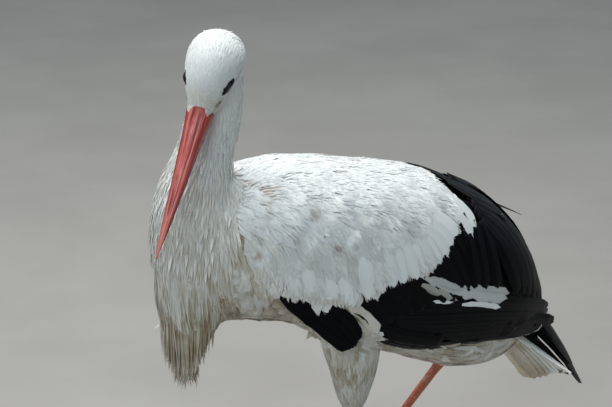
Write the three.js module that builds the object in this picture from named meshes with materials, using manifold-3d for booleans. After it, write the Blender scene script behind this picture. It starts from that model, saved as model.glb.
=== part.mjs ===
// White stork, life size, standing on its left leg with the right leg drawn up.
// Millimetres. +Z up, the bird's chest points to -Y and its left side to +X.
// The origin is the middle of the left sole, on the floor.
import * as THREE from 'three';
import { mergeVertices, mergeGeometries } from 'three/addons/utils/BufferGeometryUtils.js';
import Module from 'manifold-3d';

const wasm = await Module();
wasm.setup();

// ---------------------------------------------------------------- driving sizes
const GAP = 0.3;                    // clear cut between neighbouring pieces

const FOOT_AT = [3, 58];            // middle of the left foot under the bird, trunk frame
const FLOOR = 0;

const HEAD_AT = [29.8, -143, 749];  // midpoint between the eyes
const HEAD_TURN = 33;               // degrees, from straight ahead towards the bird's left
const HEAD_PITCH = 53;              // degrees, bill below the horizontal
const HEAD_ROLL = 17;               // degrees, left eye lower

const BILL_LENGTH = 172;
const BILL_DEPTH = 29;
const BILL_WIDTH = 30;
const EYE_RADIUS = 6.8;
const EYE_SPREAD = 20.4;            // eye centre from the head's mid plane
const EYE_RISE = 6.0;

const TIBIA_BARE_TOP = 328;         // where the feathered thigh ends
const ANKLE_HEIGHT = 236;
const TARSUS_RADIUS = 5.2;
const ANKLE_RADIUS = 9.6;
const TARSUS_LENGTH = 221;
const MIDDLE_TOE = 80;
const OUTER_TOE = 70;
const INNER_TOE = 64;
const HIND_TOE = 27;
const TOE_RADIUS = 4.9;
const TOE_SPREAD = 37;              // degrees between middle and side toes
const CLAW_LENGTH = 11;

const WING_THICK_FRONT = 12;
const WING_THICK_REAR = 4.2;
const TAIL_LENGTH = 224;
const TAIL_FAN = 8;                 // degrees from the middle to the outermost feather
const TAIL_ROLL = 24;               // degrees, right edge lower
const TAIL_FEATHERS = 12;

// trunk: [y, top, bottom, half width]
const TRUNK = [
  [-176, 562, 520, 22], [-168, 588, 490, 42], [-154, 606, 474, 57], [-130, 618, 464, 69], [-90, 624, 458, 78],
  [-40, 626, 446, 84], [0, 620, 424, 87], [40, 610, 406, 88], [90, 592, 386, 86],
  [140, 564, 364, 78], [190, 528, 345, 66], [240, 482, 338, 50], [280, 440, 346, 35],
  [306, 412, 366, 16],
];
// folded wings, outer arch: [y, crest, height of the widest line, half width, lower half height]
const ARCH = [
  [-150, 590, 556, 34, 60], [-136, 610, 552, 58, 110], [-118, 624, 547, 74, 140], [-85, 635, 541, 89, 155],
  [-40, 640, 535, 98, 160], [0, 636, 529, 102, 160], [40, 629, 523, 104, 156], [80, 620, 514, 103, 151],
  [120, 612, 505, 101, 148], [160, 600, 494, 96, 145], [200, 580, 480, 89, 138], [240, 556, 463, 79, 126],
  [275, 519, 444, 65, 108], [299, 484, 426, 50, 86], [318, 446, 406, 34, 58], [330, 412, 388, 18, 34],
];
// neck: [x, y, z, side radius, depth radius]
const NECK = [
  [18, -122, 772, 25, 25], [12, -120, 748, 29, 29], [6, -120, 722, 31, 30], [2, -122, 698, 31.5, 31.5],
  [0, -130, 665, 33, 32], [0, -138, 640, 37.5, 37], [0, -146, 612, 45, 43], [0, -149, 585, 50, 46],
  [0, -150, 556, 52, 46],
];
const BREAST = [
  [0, -150, 562, 52, 46], [0, -150, 535, 52, 44], [0, -151, 505, 50, 40], [0, -154, 475, 44, 35],
  [0, -157, 450, 35, 27], [0, -157, 432, 25, 19], [0, -156, 420, 13, 10],
];
const NECK_SPLIT = 560;

// ---------------------------------------------------------------- small tools
const lerp = (a, b, t) => a + (b - a) * t;
const rad = (d) => (d * Math.PI) / 180;
const V = (x, y, z) => new THREE.Vector3(x, y, z);

// smooth reading of a table whose first column rises or falls steadily
function table(rows, key) {
  const up = rows[rows.length - 1][0] > rows[0][0];
  let i = 0;
  while (i < rows.length - 2 && (up ? key > rows[i + 1][0] : key < rows[i + 1][0])) i += 1;
  const a = rows[Math.max(i - 1, 0)], b = rows[i], c = rows[i + 1], d = rows[Math.min(i + 2, rows.length - 1)];
  const span = c[0] - b[0];
  const t = Math.min(1, Math.max(0, (key - b[0]) / span));
  const out = [];
  for (let k = 1; k < b.length; k += 1) {
    const m0 = a === b ? (c[k] - b[k]) : ((c[k] - a[k]) / (c[0] - a[0])) * span;
    const m1 = c === d ? (c[k] - b[k]) : ((d[k] - b[k]) / (d[0] - b[0])) * span;
    const t2 = t * t, t3 = t2 * t;
    out.push((2 * t3 - 3 * t2 + 1) * b[k] + (t3 - 2 * t2 + t) * m0 + (-2 * t3 + 3 * t2) * c[k] + (t3 - t2) * m1);
  }
  return out;
}

// closed mesh over rings of equal count; the ends close on a point
function loft(rings, tipA, tipB) {
  const n = rings[0].length;
  const pos = [], idx = [];
  for (const ring of rings) for (const p of ring) pos.push(p.x, p.y, p.z);
  const mid = (ring) => ring.reduce((s, p) => s.add(p), V(0, 0, 0)).multiplyScalar(1 / ring.length);
  const a = tipA || mid(rings[0]), b = tipB || mid(rings[rings.length - 1]);
  const ia = rings.length * n, ib = ia + 1;
  pos.push(a.x, a.y, a.z, b.x, b.y, b.z);
  for (let r = 0; r < rings.length - 1; r += 1) {
    for (let i = 0; i < n; i += 1) {
      const j = (i + 1) % n, p = r * n + i, q = r * n + j, s = p + n, t = q + n;
      idx.push(p, q, t, p, t, s);
    }
  }
  const last = (rings.length - 1) * n;
  for (let i = 0; i < n; i += 1) {
    const j = (i + 1) % n;
    idx.push(ia, j, i, ib, last + i, last + j);
  }
  const g = new THREE.BufferGeometry();
  g.setAttribute('position', new THREE.Float32BufferAttribute(pos, 3));
  g.setIndex(idx);
  return outward(g);
}

function signedVolume(g) {
  const p = g.getAttribute('position').array, ix = g.getIndex().array;
  let v = 0;
  for (let k = 0; k < ix.length; k += 3) {
    const a = ix[k] * 3, b = ix[k + 1] * 3, c = ix[k + 2] * 3;
    v += p[a] * (p[b + 1] * p[c + 2] - p[b + 2] * p[c + 1])
      + p[a + 1] * (p[b + 2] * p[c] - p[b] * p[c + 2])
      + p[a + 2] * (p[b] * p[c + 1] - p[b + 1] * p[c]);
  }
  return v / 6;
}

function outward(g) {
  if (signedVolume(g) < 0) {
    const ix = g.getIndex().array;
    for (let k = 0; k < ix.length; k += 3) { const t = ix[k + 1]; ix[k + 1] = ix[k + 2]; ix[k + 2] = t; }
  }
  return g;
}

function solid(g) {
  const c = g.clone();
  for (const name of Object.keys(c.attributes)) if (name !== 'position') c.deleteAttribute(name);
  const m = mergeVertices(c, 1e-4);
  return new wasm.Manifold(new wasm.Mesh({
    numProp: 3,
    vertProperties: new Float32Array(m.getAttribute('position').array),
    triVerts: new Uint32Array(m.getIndex().array),
  }));
}

function geometry(m) {
  const mesh = m.getMesh();
  const g = new THREE.BufferGeometry();
  g.setAttribute('position', new THREE.BufferAttribute(new Float32Array(mesh.vertProperties), 3));
  g.setIndex(new THREE.BufferAttribute(new Uint32Array(mesh.triVerts), 1));
  return g;
}

// the one biggest body of a cut solid
function biggest(m) {
  const bits = m.decompose();
  let best = bits[0];
  for (const b of bits) if (b.volume() > best.volume()) best = b;
  return best;
}

const join = (...list) => list.reduce((a, b) => a.add(b));

// a tube of elliptical rings about a path of [point, side radius, depth radius]
function limb(path, sides, grow = 0, sideAxis = V(1, 0, 0), squareness = 2) {
  const rings = [];
  for (let i = 0; i < path.length; i += 1) {
    const p = path[i][0];
    const before = path[Math.max(i - 1, 0)][0], after = path[Math.min(i + 1, path.length - 1)][0];
    const t = after.clone().sub(before).normalize();
    const side = sideAxis.clone().addScaledVector(t, -sideAxis.dot(t)).normalize();
    const depth = V(0, 0, 0).crossVectors(t, side).normalize();
    const ring = [];
    for (let k = 0; k < sides; k += 1) {
      const a = (2 * Math.PI * k) / sides;
      const c = Math.cos(a), s = Math.sin(a), e = 2 / squareness;
      ring.push(p.clone()
        .addScaledVector(side, (path[i][1] + grow) * Math.sign(c) * Math.abs(c) ** e)
        .addScaledVector(depth, (path[i][2] + grow) * Math.sign(s) * Math.abs(s) ** e));
    }
    rings.push(ring);
  }
  return loft(rings);
}

function resample(rows, count) {
  const key = rows.map((r, i) => [i, ...r]);
  const out = [];
  for (let i = 0; i < count; i += 1) out.push(table(key, ((rows.length - 1) * i) / (count - 1)));
  return out;
}

// a pointed, slightly flattened lock of long feathers
function lock(root, tip, width, thick, bow = V(0, 0, 0), steps = 4) {
  const path = [];
  for (let i = 0; i <= steps; i += 1) {
    const t = i / steps;
    const p = root.clone().lerp(tip, t).addScaledVector(bow, 4 * t * (1 - t));
    const w = Math.max(0.09, Math.sin(Math.PI * (0.30 + 0.69 * t)));
    path.push([p, width * w, thick * w]);
  }
  return limb(path, 5, 0, V(0.5, 0.866, 0));
}

// a plate standing on its outline in the Y-Z plane, as thick as x0..x1
function plate(outline, x0, x1) {
  const shape = new THREE.Shape(outline.map(([y, z]) => new THREE.Vector2(y, z)));
  const g = new THREE.ExtrudeGeometry(shape, { depth: x1 - x0, bevelEnabled: false, curveSegments: 1 });
  // shape x -> world y, shape y -> world z, depth -> world x
  const m = new THREE.Matrix4().set(0, 0, 1, x0, 1, 0, 0, 0, 0, 1, 0, 0, 0, 0, 0, 1);
  g.applyMatrix4(m);
  return solid(g);
}

// outline moved outwards by d
function widen(outline, d) {
  let area = 0;
  const n = outline.length;
  for (let i = 0; i < n; i += 1) {
    const [a, b] = outline[i], [c, e] = outline[(i + 1) % n];
    area += a * e - c * b;
  }
  const s = area > 0 ? 1 : -1;
  return outline.map((p, i) => {
    const a = outline[(i + n - 1) % n], b = outline[(i + 1) % n];
    const tx = b[0] - a[0], ty = b[1] - a[1], l = Math.hypot(tx, ty) || 1;
    return [p[0] + (s * d * ty) / l, p[1] - (s * d * tx) / l];
  });
}

// smooth curve through a few points with feather tips as scallops along it
function scallops(points, tips, drop, skew = 0.3, per = 4) {
  const rows = points.map((p, i) => [i, ...p]);
  const at = (t) => table(rows, t * (points.length - 1));
  const out = [];
  const count = tips * per;
  for (let i = 0; i <= count; i += 1) {
    const t = i / count;
    const [y, z] = at(t);
    const a = at(Math.max(0, t - 0.01)), b = at(Math.min(1, t + 0.01));
    const tx = b[0] - a[0], ty = b[1] - a[1], l = Math.hypot(tx, ty) || 1;
    const phase = (t * tips) % 1;
    const lobe = Math.sin(Math.PI * Math.min(1, phase ** (1 - skew))) * (i % per === 0 ? 0 : 1);
    out.push([y + (drop * lobe * ty) / l, z - (drop * lobe * tx) / l]);
  }
  return out;
}

// ---------------------------------------------------------------- trunk and arches
function trunkSolid(grow = 0) {
  const rings = [], sides = 12, count = 10;
  for (let i = 0; i < count; i += 1) {
    const u = i / (count - 1);
    const e = 0.5 - 0.5 * Math.cos(Math.PI * u);
    const y = lerp(TRUNK[0][0], TRUNK[TRUNK.length - 1][0], lerp(u, e, 0.55));
    const [top, bottom, wide] = table(TRUNK, y);
    const zc = (top + bottom) / 2, h = (top - bottom) / 2 + grow;
    const ring = [];
    for (let k = 0; k < sides; k += 1) {
      const a = (2 * Math.PI * k) / sides, c = Math.cos(a), s = Math.sin(a), p = 2 / 2.25;
      ring.push(V((wide + grow) * Math.sign(c) * Math.abs(c) ** p, y, zc + h * Math.sign(s) * Math.abs(s) ** p));
    }
    rings.push(ring);
  }
  return solid(loft(rings));
}

function archSolid(inset) {
  const rings = [], sides = 14, count = 11;
  const y0 = ARCH[0][0], y1 = ARCH[ARCH.length - 1][0];
  for (let i = 0; i < count; i += 1) {
    const u = i / (count - 1);
    const y = lerp(y0, y1, lerp(u, 0.5 - 0.5 * Math.cos(Math.PI * u), 0.45));
    const [crest, zc, wide, low] = table(ARCH, y);
    const t = inset(y);
    const ring = [];
    for (let k = 0; k < sides; k += 1) {
      const a = (2 * Math.PI * k) / sides, c = Math.cos(a), s = Math.sin(a), p = 2 / 2.35;
      const h = s > 0 ? crest - zc : low;
      ring.push(V(Math.max(2, wide - t) * Math.sign(c) * Math.abs(c) ** p, y, zc + Math.max(2, h - t) * Math.sign(s) * Math.abs(s) ** p));
    }
    rings.push(ring);
  }
  return solid(loft(rings));
}

const wingThick = (y) => lerp(WING_THICK_FRONT, WING_THICK_REAR, Math.min(1, Math.max(0, (y - 60) / 240)));

// side outline of a folded wing: front of the shoulder, lower edge, rear tips, crest
function wingOutline(side) {
  const front = [[-60, 680], [-122, 640], [-128, 606], [-120, 562], [-104, 524], [-84, 499]];
  const belowFront = scallops([[-84, 497], [-40, 490], [6, 476], [26, 462], [36, 442]], 3, 3, 0.3, 3);
  const below = scallops([[38, 434], [70, 418], [118, 402], [170, 393], [226, 386], [276, 378], [312, 374]], 5, 3, 0.5, 3);
  const late = side > 0 ? 0 : 7;
  const rear = [[350, 374], [350, 460 + late], [300, 580]];
  const top = [[236, 700], [80, 720]];
  return [...front, ...belowFront, ...below, ...rear, ...top];
}

// where white coverts and scapulars end over the black flight feathers
function whiteOutline() {
  const edge = [
    ...scallops([[-84, 494], [-52, 484], [-20, 470], [2, 472]], 2, 3, 0.3, 3),
    ...scallops([[6, 478], [28, 488], [57, 497], [90, 501], [130, 517], [152, 540]], 7, 4, 0.35, 3),
    ...scallops([[156, 548], [180, 536], [183, 556], [168, 577], [158, 600], [150, 640]], 4, 4, 0.3, 3),
  ];
  return [[-60, 700], [-150, 690], [-160, 560], [-110, 505], ...edge, [146, 700], [60, 720]];
}

const outer = archSolid(() => 0);
const inner = archSolid(wingThick);
const outerGrown = archSolid(() => -GAP);
const innerShrunk = archSolid((y) => wingThick(y) + GAP);

function wingParts(side) {
  const lo = side > 0 ? GAP / 2 : -160, hi = side > 0 ? 160 : -GAP / 2;
  const outline = wingOutline(side);
  const slab = outer.subtract(inner).intersect(plate(outline, lo, hi));
  const white = plate(whiteOutline(), -170, 170);
  const whiteGrown = plate(widen(whiteOutline(), GAP), -171, 171);
  const grown = outerGrown.subtract(innerShrunk).intersect(plate(widen(outline, GAP), lo - GAP, hi + GAP));
  const tips = tertials(side);
  return { coverts: biggest(slab.intersect(white)), flight: biggest(slab.subtract(whiteGrown).add(tips)), grown, tips };
}

// ---------------------------------------------------------------- blades
// one long flight feather: root, tip, half width, half thickness, plane normal
function blade(root, tip, half, thick, normal, bow = 0, steps = 5, grow = 0) {
  const path = [];
  for (let i = 0; i <= steps; i += 1) {
    const t = i / steps;
    const p = root.clone().lerp(tip, t).addScaledVector(normal, bow * 4 * t * (1 - t));
    const w = half * Math.min(1, 0.55 + 1.4 * t) * (t > 0.7 ? Math.sqrt(Math.max(0.02, 1 - ((t - 0.7) / 0.3) ** 2)) : 1);
    path.push([p, w + grow, thick * (1 - 0.45 * t) + grow]);
  }
  const along = tip.clone().sub(root).normalize();
  const side = V(0, 0, 0).crossVectors(normal, along).normalize();
  return limb(path, 6, 0, side, 2);
}

// long tertials lying over the rump, their tips just proud of the folded wing
function tertials(side) {
  const spec = side > 0
    ? [[V(34, 268, 470), V(16, 345, 372), 13, V(0.45, 0.72, 0.53)]]
    : [[V(-34, 268, 474), V(-18, 344, 380), 13, V(-0.45, 0.72, 0.53)], [V(-16, 240, 541), V(-22, 322, 507), 8, V(-0.2, 0.35, 0.92)]];
  return join(...spec.map(([root, tip, w, n]) => solid(blade(root, tip, w, 2.6, n.normalize(), 5, 3))));
}

// ---------------------------------------------------------------- tail
function tailPoint(u, v) {
  // u along 0..1, v across -1..1
  const reach = TAIL_LENGTH * (1 - 0.09 * v * v) * u;
  const fan = rad(TAIL_FAN) * v;
  const x = 14 * v + reach * Math.sin(fan);
  const along = reach * Math.cos(fan);
  const slope = rad(35) + rad(5) * u;
  const arch = -9 * v * v * (0.4 + u) + Math.tan(rad(TAIL_ROLL)) * x * u;
  const y = 203 + along * Math.cos(slope);
  const z = 436 - along * Math.sin(slope) + arch;
  return V(x, y, z);
}

function tailGeometry(thick) {
  const nu = 3, nv = TAIL_FEATHERS * 2;
  const topV = [], botV = [];
  for (let j = 0; j <= nv; j += 1) {
    const v = -1 + (2 * j) / nv;
    const notch = j % 2 === 0 ? 0.055 : 0;
    for (let i = 0; i <= nu; i += 1) {
      const u = (i / nu) * (1 - notch * (i / nu) ** 6);
      const p = tailPoint(u, v);
      const t = thick * (1 - 0.5 * u);
      topV.push(p.clone().add(V(0, 0.35 * t, 0.5 * t)));
      botV.push(p.clone().sub(V(0, 0.35 * t, 0.5 * t)));
    }
  }
  const pos = [], idx = [];
  for (const p of [...topV, ...botV]) pos.push(p.x, p.y, p.z);
  const N = topV.length, w = nu + 1;
  const quad = (a, b, c, d) => idx.push(a, b, c, a, c, d);
  for (let j = 0; j < nv; j += 1) {
    for (let i = 0; i < nu; i += 1) {
      const a = j * w + i;
      quad(a, a + 1, a + w + 1, a + w);
      quad(N + a, N + a + w, N + a + w + 1, N + a + 1);
    }
    quad(j * w, (j + 1) * w, N + (j + 1) * w, N + j * w);
    const e = j * w + nu;
    quad(e, N + e, N + e + w, e + w);
  }
  for (let i = 0; i < nu; i += 1) {
    quad(i, N + i, N + i + 1, i + 1);
    const b = nv * w + i;
    quad(b, b + 1, N + b + 1, N + b);
  }
  const g = new THREE.BufferGeometry();
  g.setAttribute('position', new THREE.Float32BufferAttribute(pos, 3));
  g.setIndex(idx);
  return outward(g);
}

// ---------------------------------------------------------------- head and bill
function headFrame() {
  const a = rad(HEAD_TURN), p = rad(HEAD_PITCH), r = rad(HEAD_ROLL);
  const flat = V(Math.sin(a), -Math.cos(a), 0);
  const f = flat.clone().multiplyScalar(Math.cos(p)).add(V(0, 0, -Math.sin(p)));
  const l0 = V(-flat.y, flat.x, 0);
  const u0 = V(0, 0, 0).crossVectors(f, l0);
  const l = l0.clone().multiplyScalar(Math.cos(r)).addScaledVector(u0, -Math.sin(r));
  const u = u0.clone().multiplyScalar(Math.cos(r)).addScaledVector(l0, Math.sin(r));
  return new THREE.Matrix4().makeBasis(f, l, u).setPosition(...HEAD_AT);
}
const HEAD = headFrame();
const inHead = (f, l, u) => V(f, l, u).applyMatrix4(HEAD);

// [forward, centre height, half height, half width]
const SKULL = [
  [-68, -12, 7, 8], [-64, -10, 15.5, 16.5], [-56, -6, 23, 24.5], [-44, -1.5, 29, 30.5], [-30, 1.5, 31.5, 32.3], [-14, 2.5, 30.5, 30],
  [1, 1.5, 26.5, 26], [14, -1.5, 21.8, 22], [24, -4.2, 18, 18.4], [31, -5.8, 14.8, 15.6], [35, -6.6, 11.4, 13.0],
];
function headSolid(grow = 0) {
  const rings = [], sides = 16, count = 10;
  for (let i = 0; i < count; i += 1) {
    const u = i / (count - 1), e = 0.5 - 0.5 * Math.cos(Math.PI * u);
    const f = lerp(SKULL[0][0], SKULL[SKULL.length - 1][0], lerp(u, e, 0.5));
    const [c, h, w] = table(SKULL, f);
    const ring = [];
    for (let k = 0; k < sides; k += 1) {
      const a = (2 * Math.PI * k) / sides, p = 2 / 2.1;
      const cs = Math.cos(a), sn = Math.sin(a);
      // a slight brow: the crown is narrower than the cheeks
      const taper = sn > 0 ? 1 - 0.10 * sn : 1;
      ring.push(inHead(f, (w + grow) * taper * Math.sign(cs) * Math.abs(cs) ** p, c + (h + grow) * Math.sign(sn) * Math.abs(sn) ** p));
    }
    rings.push(ring);
  }
  return solid(loft(rings));
}

const BILL_BASE = 22;
const culmen = (t) => lerp(8.2, -13.4, t) - 2.2 * Math.sin(Math.PI * t) + 0.9 * Math.sin(Math.PI * t) * t;
const tomium = (t) => lerp(-9.2, -13.8, t);
const gonys = (t) => (t < 0.55 ? lerp(-21.5, -20.8, t / 0.55) : lerp(-20.8, -14.2, ((t - 0.55) / 0.45) ** 1.25));
const billHalf = (t) => (BILL_WIDTH / 2) * (1 - t) ** 0.82 * (1 - 0.10 * Math.sin(Math.PI * t)) + 0.45;

function mandible(upper, grow = 0) {
  const rings = [], count = 8;
  for (let i = 0; i < count; i += 1) {
    const t = i / (count - 1);
    const f = lerp(BILL_BASE, BILL_BASE + BILL_LENGTH + 10, t ** 0.9);
    const w = billHalf(t) + grow;
    const mid = tomium(t), half = GAP / 2 - grow;
    const edge = upper ? culmen(t) + grow : gonys(t) - grow;
    const zero = upper ? mid + half : mid - half;
    const deep = Math.abs(edge - zero) < 0.5 ? zero + (upper ? 0.5 : -0.5) : edge;
    const ring = [];
    const arc = upper
      ? [[1, 0], [0.98, 0.3], [0.78, 0.72], [0.40, 0.95], [0, 1]]
      : [[0.97, 0], [0.92, 0.45], [0.62, 0.84], [0, 1]];
    for (const [a, b] of arc) ring.push(inHead(f, w * a, lerp(zero, deep, b)));
    for (const [a, b] of arc.slice(0, -1).reverse()) ring.push(inHead(f, -w * a, lerp(zero, deep, b)));
    rings.push(ring);
  }
  return solid(loft(rings));
}

function eyeSolid(side, grow = 0) {
  const g = new THREE.SphereGeometry(EYE_RADIUS + grow, 10, 6);
  g.applyMatrix4(new THREE.Matrix4().setPosition(...inHead(0, side * EYE_SPREAD, EYE_RISE).toArray()));
  return solid(g);
}

// ---------------------------------------------------------------- neck and breast
function columnSolid(rows, count, grow = 0, sides = 12) {
  const path = resample(rows, count).map(([x, y, z, a, b]) => [V(x, y, z), a, b]);
  return solid(limb(path, sides, grow, V(1, 0, 0), 2));
}

function cutAbove(m, z) {
  const g = new THREE.BoxGeometry(600, 900, 900);
  g.translate(0, 0, z + 450);
  return m.subtract(solid(g));
}
function cutBelow(m, z) {
  const g = new THREE.BoxGeometry(600, 900, 900);
  g.translate(0, 0, z - 450);
  return m.subtract(solid(g));
}

// hanging plumes: an outer ring of locks and a middle tuft that hangs lowest
const OUTER_LOCKS = 6, MIDDLE_LOCKS = 3;
const PLUMES = [];
for (let i = 0; i < OUTER_LOCKS; i += 1) {
  const a = rad(-210 + (i * 250) / (OUTER_LOCKS - 1));
  PLUMES.push({ a, root: 498 - 20 * (i % 2), tip: 446 - 16 * ((i * 2) % 3), r: 0.66, width: 11 - (i % 3) });
}
for (let i = 0; i < MIDDLE_LOCKS; i += 1) {
  PLUMES.push({ a: rad(-150 + 120 * i), root: 470, tip: 397 + 7 * ((i + 1) % 3), r: 0.22, width: 12 });
}
function locksSolid() {
  const list = [];
  for (const p of PLUMES) {
    const root = V(38 * p.r * 1.3 * Math.cos(p.a), -154 + 31 * p.r * 1.25 * Math.sin(p.a), p.root);
    const tip = V(46 * p.r * Math.cos(p.a), -155 + 36 * p.r * Math.sin(p.a), p.tip);
    list.push(solid(lock(root, tip, p.width, 0.7 * p.width, V(0, 0, 0), 3)));
  }
  return join(...list);
}

// ---------------------------------------------------------------- legs
const ANKLE_R = V(-45, 236, 342);
const FOOT_R = V(-45, 236 - TARSUS_LENGTH * 0.7, 342 - TARSUS_LENGTH * 0.714);
const LEG_L_TOP = V(47, 36, 346);
const ANKLE_L = V(28, 51, ANKLE_HEIGHT);
const FOOT_L = V(FOOT_AT[0], FOOT_AT[1], 0);

function thighLeft(grow = 0) {
  const rows = [
    [50, 30, 462, 34, 42], [50, 33, 432, 34, 42], [49.5, 35, 408, 31, 36], [49, 36, 385, 26.5, 29],
    [48, 36, 365, 22, 23.5], [47, 36.5, 350, 18, 19], [45.5, 37, 338, 13.5, 14], [44, 38, TIBIA_BARE_TOP, 8.5, 8.5],
  ];
  return columnSolid(rows, 8, grow, 9);
}
function thighRight(grow = 0) {
  const hip = V(-47, 50, 424), end = V(-46, 150, 374);
  const path = [];
  for (let i = 0; i <= 6; i += 1) {
    const t = i / 6;
    const r = lerp(36, 7.2, t ** 1.25);
    path.push([hip.clone().lerp(end, t).add(V(0, 0, -6 * Math.sin(Math.PI * t))), r * 0.8 + grow, r + grow]);
  }
  return solid(limb(path, 10, 0, V(1, 0, 0), 2));
}

// bare leg: tibia above the ankle, tarsus with the ankle's knob below it, ending just above the root of the toes
const SHANK_END = 15.2;
function legBones(top, ankle, foot, grow = 0) {
  const up = top.clone().sub(ankle), down = foot.clone().sub(ankle);
  const at = (base, dir, t) => base.clone().addScaledVector(dir, t);
  const r = TARSUS_RADIUS + grow, k = ANKLE_RADIUS + grow;
  const tibia = solid(limb([
    [at(ankle, up, 1), r * 1.06, r * 1.1], [at(ankle, up, 0.6), r, r * 1.06], [at(ankle, up, 0.28), r * 1.1, r * 1.18],
    [at(ankle, up, 0.1), k * 0.86, k * 0.9], [at(ankle, up, 0.0), k * 0.95, k], [at(ankle, up, -0.06), k * 0.7, k * 0.7],
  ], 8));
  const tarsus = solid(limb([
    [at(ankle, down, -0.03), k * 0.7, k * 0.7], [at(ankle, down, 0.015), k * 0.93, k * 0.98], [at(ankle, down, 0.07), k * 0.82, k * 0.86],
    [at(ankle, down, 0.16), r * 1.05, r * 1.15], [at(ankle, down, 0.5), r * 0.9, r], [at(ankle, down, 0.84), r * 0.95, r * 1.05],
    [at(ankle, down, 1 - SHANK_END / down.length()), r * 1.3, r * 1.25],
  ], 8));
  return { tibia, tarsus };
}
// both together, or parted at the ankle by a hair
function shank(top, ankle, foot, grow = 0) {
  const { tibia, tarsus } = legBones(top, ankle, foot, grow);
  return tibia.add(tarsus);
}
function legParts(top, ankle, foot, thighGrown) {
  const { tibia, tarsus } = legBones(top, ankle, foot);
  const socket = legBones(top, ankle, foot, GAP).tarsus;
  return { tibia: biggest(tibia.subtract(socket).subtract(thighGrown)), tarsus };
}

// one toe in its own frame: along +A, up +B; knuckles swell along it
function toePath(origin, dir, up, length, r, droop, grow) {
  const path = [];
  const steps = 4;
  for (let i = 0; i <= steps; i += 1) {
    const t = i / steps;
    const knuckle = 1 + 0.08 * Math.cos(4 * Math.PI * t);
    const taper = lerp(1, 0.62, t);
    const p = origin.clone().addScaledVector(dir, length * t).addScaledVector(up, -droop * t * t * length);
    path.push([p, r * knuckle * taper + grow, r * 0.92 * knuckle * taper + grow]);
  }
  return path;
}

function footParts(origin, ahead, up, spread, droop, rise, behind) {
  // origin: where the toes meet; ahead: direction of the middle toe; up: away from the sole
  const left = V(0, 0, 0).crossVectors(up, ahead).normalize();
  const toes = [
    ['middle', 0, MIDDLE_TOE, TOE_RADIUS], ['outer', 1, OUTER_TOE, TOE_RADIUS * 0.94],
    ['inner', -1, INNER_TOE, TOE_RADIUS * 0.9], ['hind', 0, HIND_TOE, TOE_RADIUS * 0.8],
  ];
  const out = {};
  let body = null;
  const claws = {};
  for (const [name, side, length, r] of toes) {
    const turn = name === 'hind' ? Math.PI : side * rad(spread);
    const dir = name === 'hind' ? behind.clone().normalize()
      : ahead.clone().multiplyScalar(Math.cos(turn)).addScaledVector(left, Math.sin(turn)).normalize();
    const start = origin.clone().addScaledVector(dir, name === 'hind' ? -1 : -3).addScaledVector(up, name === 'hind' ? -0.5 : 0);
    const d2 = name === 'hind' ? 0.02 : droop;
    const toe = solid(limb(toePath(start, dir, up, length, r, d2, 0), 6, 0, left.clone().multiplyScalar(Math.cos(turn)).addScaledVector(ahead, -Math.sin(turn))));
    body = body ? body.add(toe) : toe;
    const tip = start.clone().addScaledVector(dir, length).addScaledVector(up, -d2 * length);
    const fall = dir.clone().addScaledVector(up, -2 * d2).normalize();
    const cl = [];
    for (let i = 0; i <= 3; i += 1) {
      const t = i / 3;
      const p = tip.clone().addScaledVector(fall, -3 + (CLAW_LENGTH + 3) * t).addScaledVector(up, rise * (0.4 - 1.8 * t * t));
      cl.push([p, 2.9 * (1 - 0.8 * t * t), 2.5 * (1 - 0.8 * t * t)]);
    }
    claws[name] = { path: cl, side: left.clone().multiplyScalar(Math.cos(turn)).addScaledVector(ahead, -Math.sin(turn)) };
  }
  // small web between the front toes, near their roots: one flat fan
  const fan = [-1, -0.5, 0, 0.5, 1].map((k) => {
    const a = rad(spread) * k;
    return ahead.clone().multiplyScalar(Math.cos(a)).addScaledVector(left, Math.sin(a)).multiplyScalar(k % 1 === 0 ? 19 : 14);
  });
  const rings = [0.8, -2.0].map((h) => [origin.clone().addScaledVector(ahead, -1), ...fan.map((d) => origin.clone().add(d))].map((p) => p.addScaledVector(up, h)));
  body = body.add(solid(loft(rings)));
  out.body = body;
  out.claws = claws;
  return out;
}

// ---------------------------------------------------------------- assembly
const pieces = [];
const add = (name, m, color, roughness) => pieces.push({ name, m, color, roughness });

const WHITE = 0xf1efe8, BLACK = 0x14151a, RED = 0xb5362a, LEG_RED = 0xb04a36, DARK = 0x0b0a0c, HORN = 0x3a2a24;

// left foot stands on the floor
const soleRise = TOE_RADIUS * 0.62;
const footL = footParts(V(FOOT_L.x, FOOT_L.y, soleRise), V(0.10, -0.995, 0).normalize(), V(0, 0, 1), TOE_SPREAD, 0.016, 0.5, V(-0.10, 0.995, 0));
const anklePad = (at, dir, lift, grow = 0) => solid(limb([
  [at.clone().addScaledVector(dir, lift), TARSUS_RADIUS * 1.28 + grow, TARSUS_RADIUS * 1.28 + grow],
  [at.clone().addScaledVector(dir, 5), TARSUS_RADIUS * 1.42 + grow, TARSUS_RADIUS * 1.5 + grow],
  [at.clone(), TARSUS_RADIUS * 1.5 + grow, TARSUS_RADIUS * 1.6 + grow],
  [at.clone().addScaledVector(dir, -3.4), TARSUS_RADIUS * 1.2 + grow, TARSUS_RADIUS * 1.3 + grow],
], 8));

const thighL = thighLeft();
const thighLGrown = thighLeft(GAP);

let footLBody = join(footL.body, anklePad(V(FOOT_L.x, FOOT_L.y, soleRise), V(0, 0, 1), SHANK_END - soleRise - 1.2));
footLBody = cutBelow(footLBody, FLOOR);
const legL = legParts(LEG_L_TOP.clone().add(V(0, 0, 12)), ANKLE_L, FOOT_L, thighLGrown);

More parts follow.
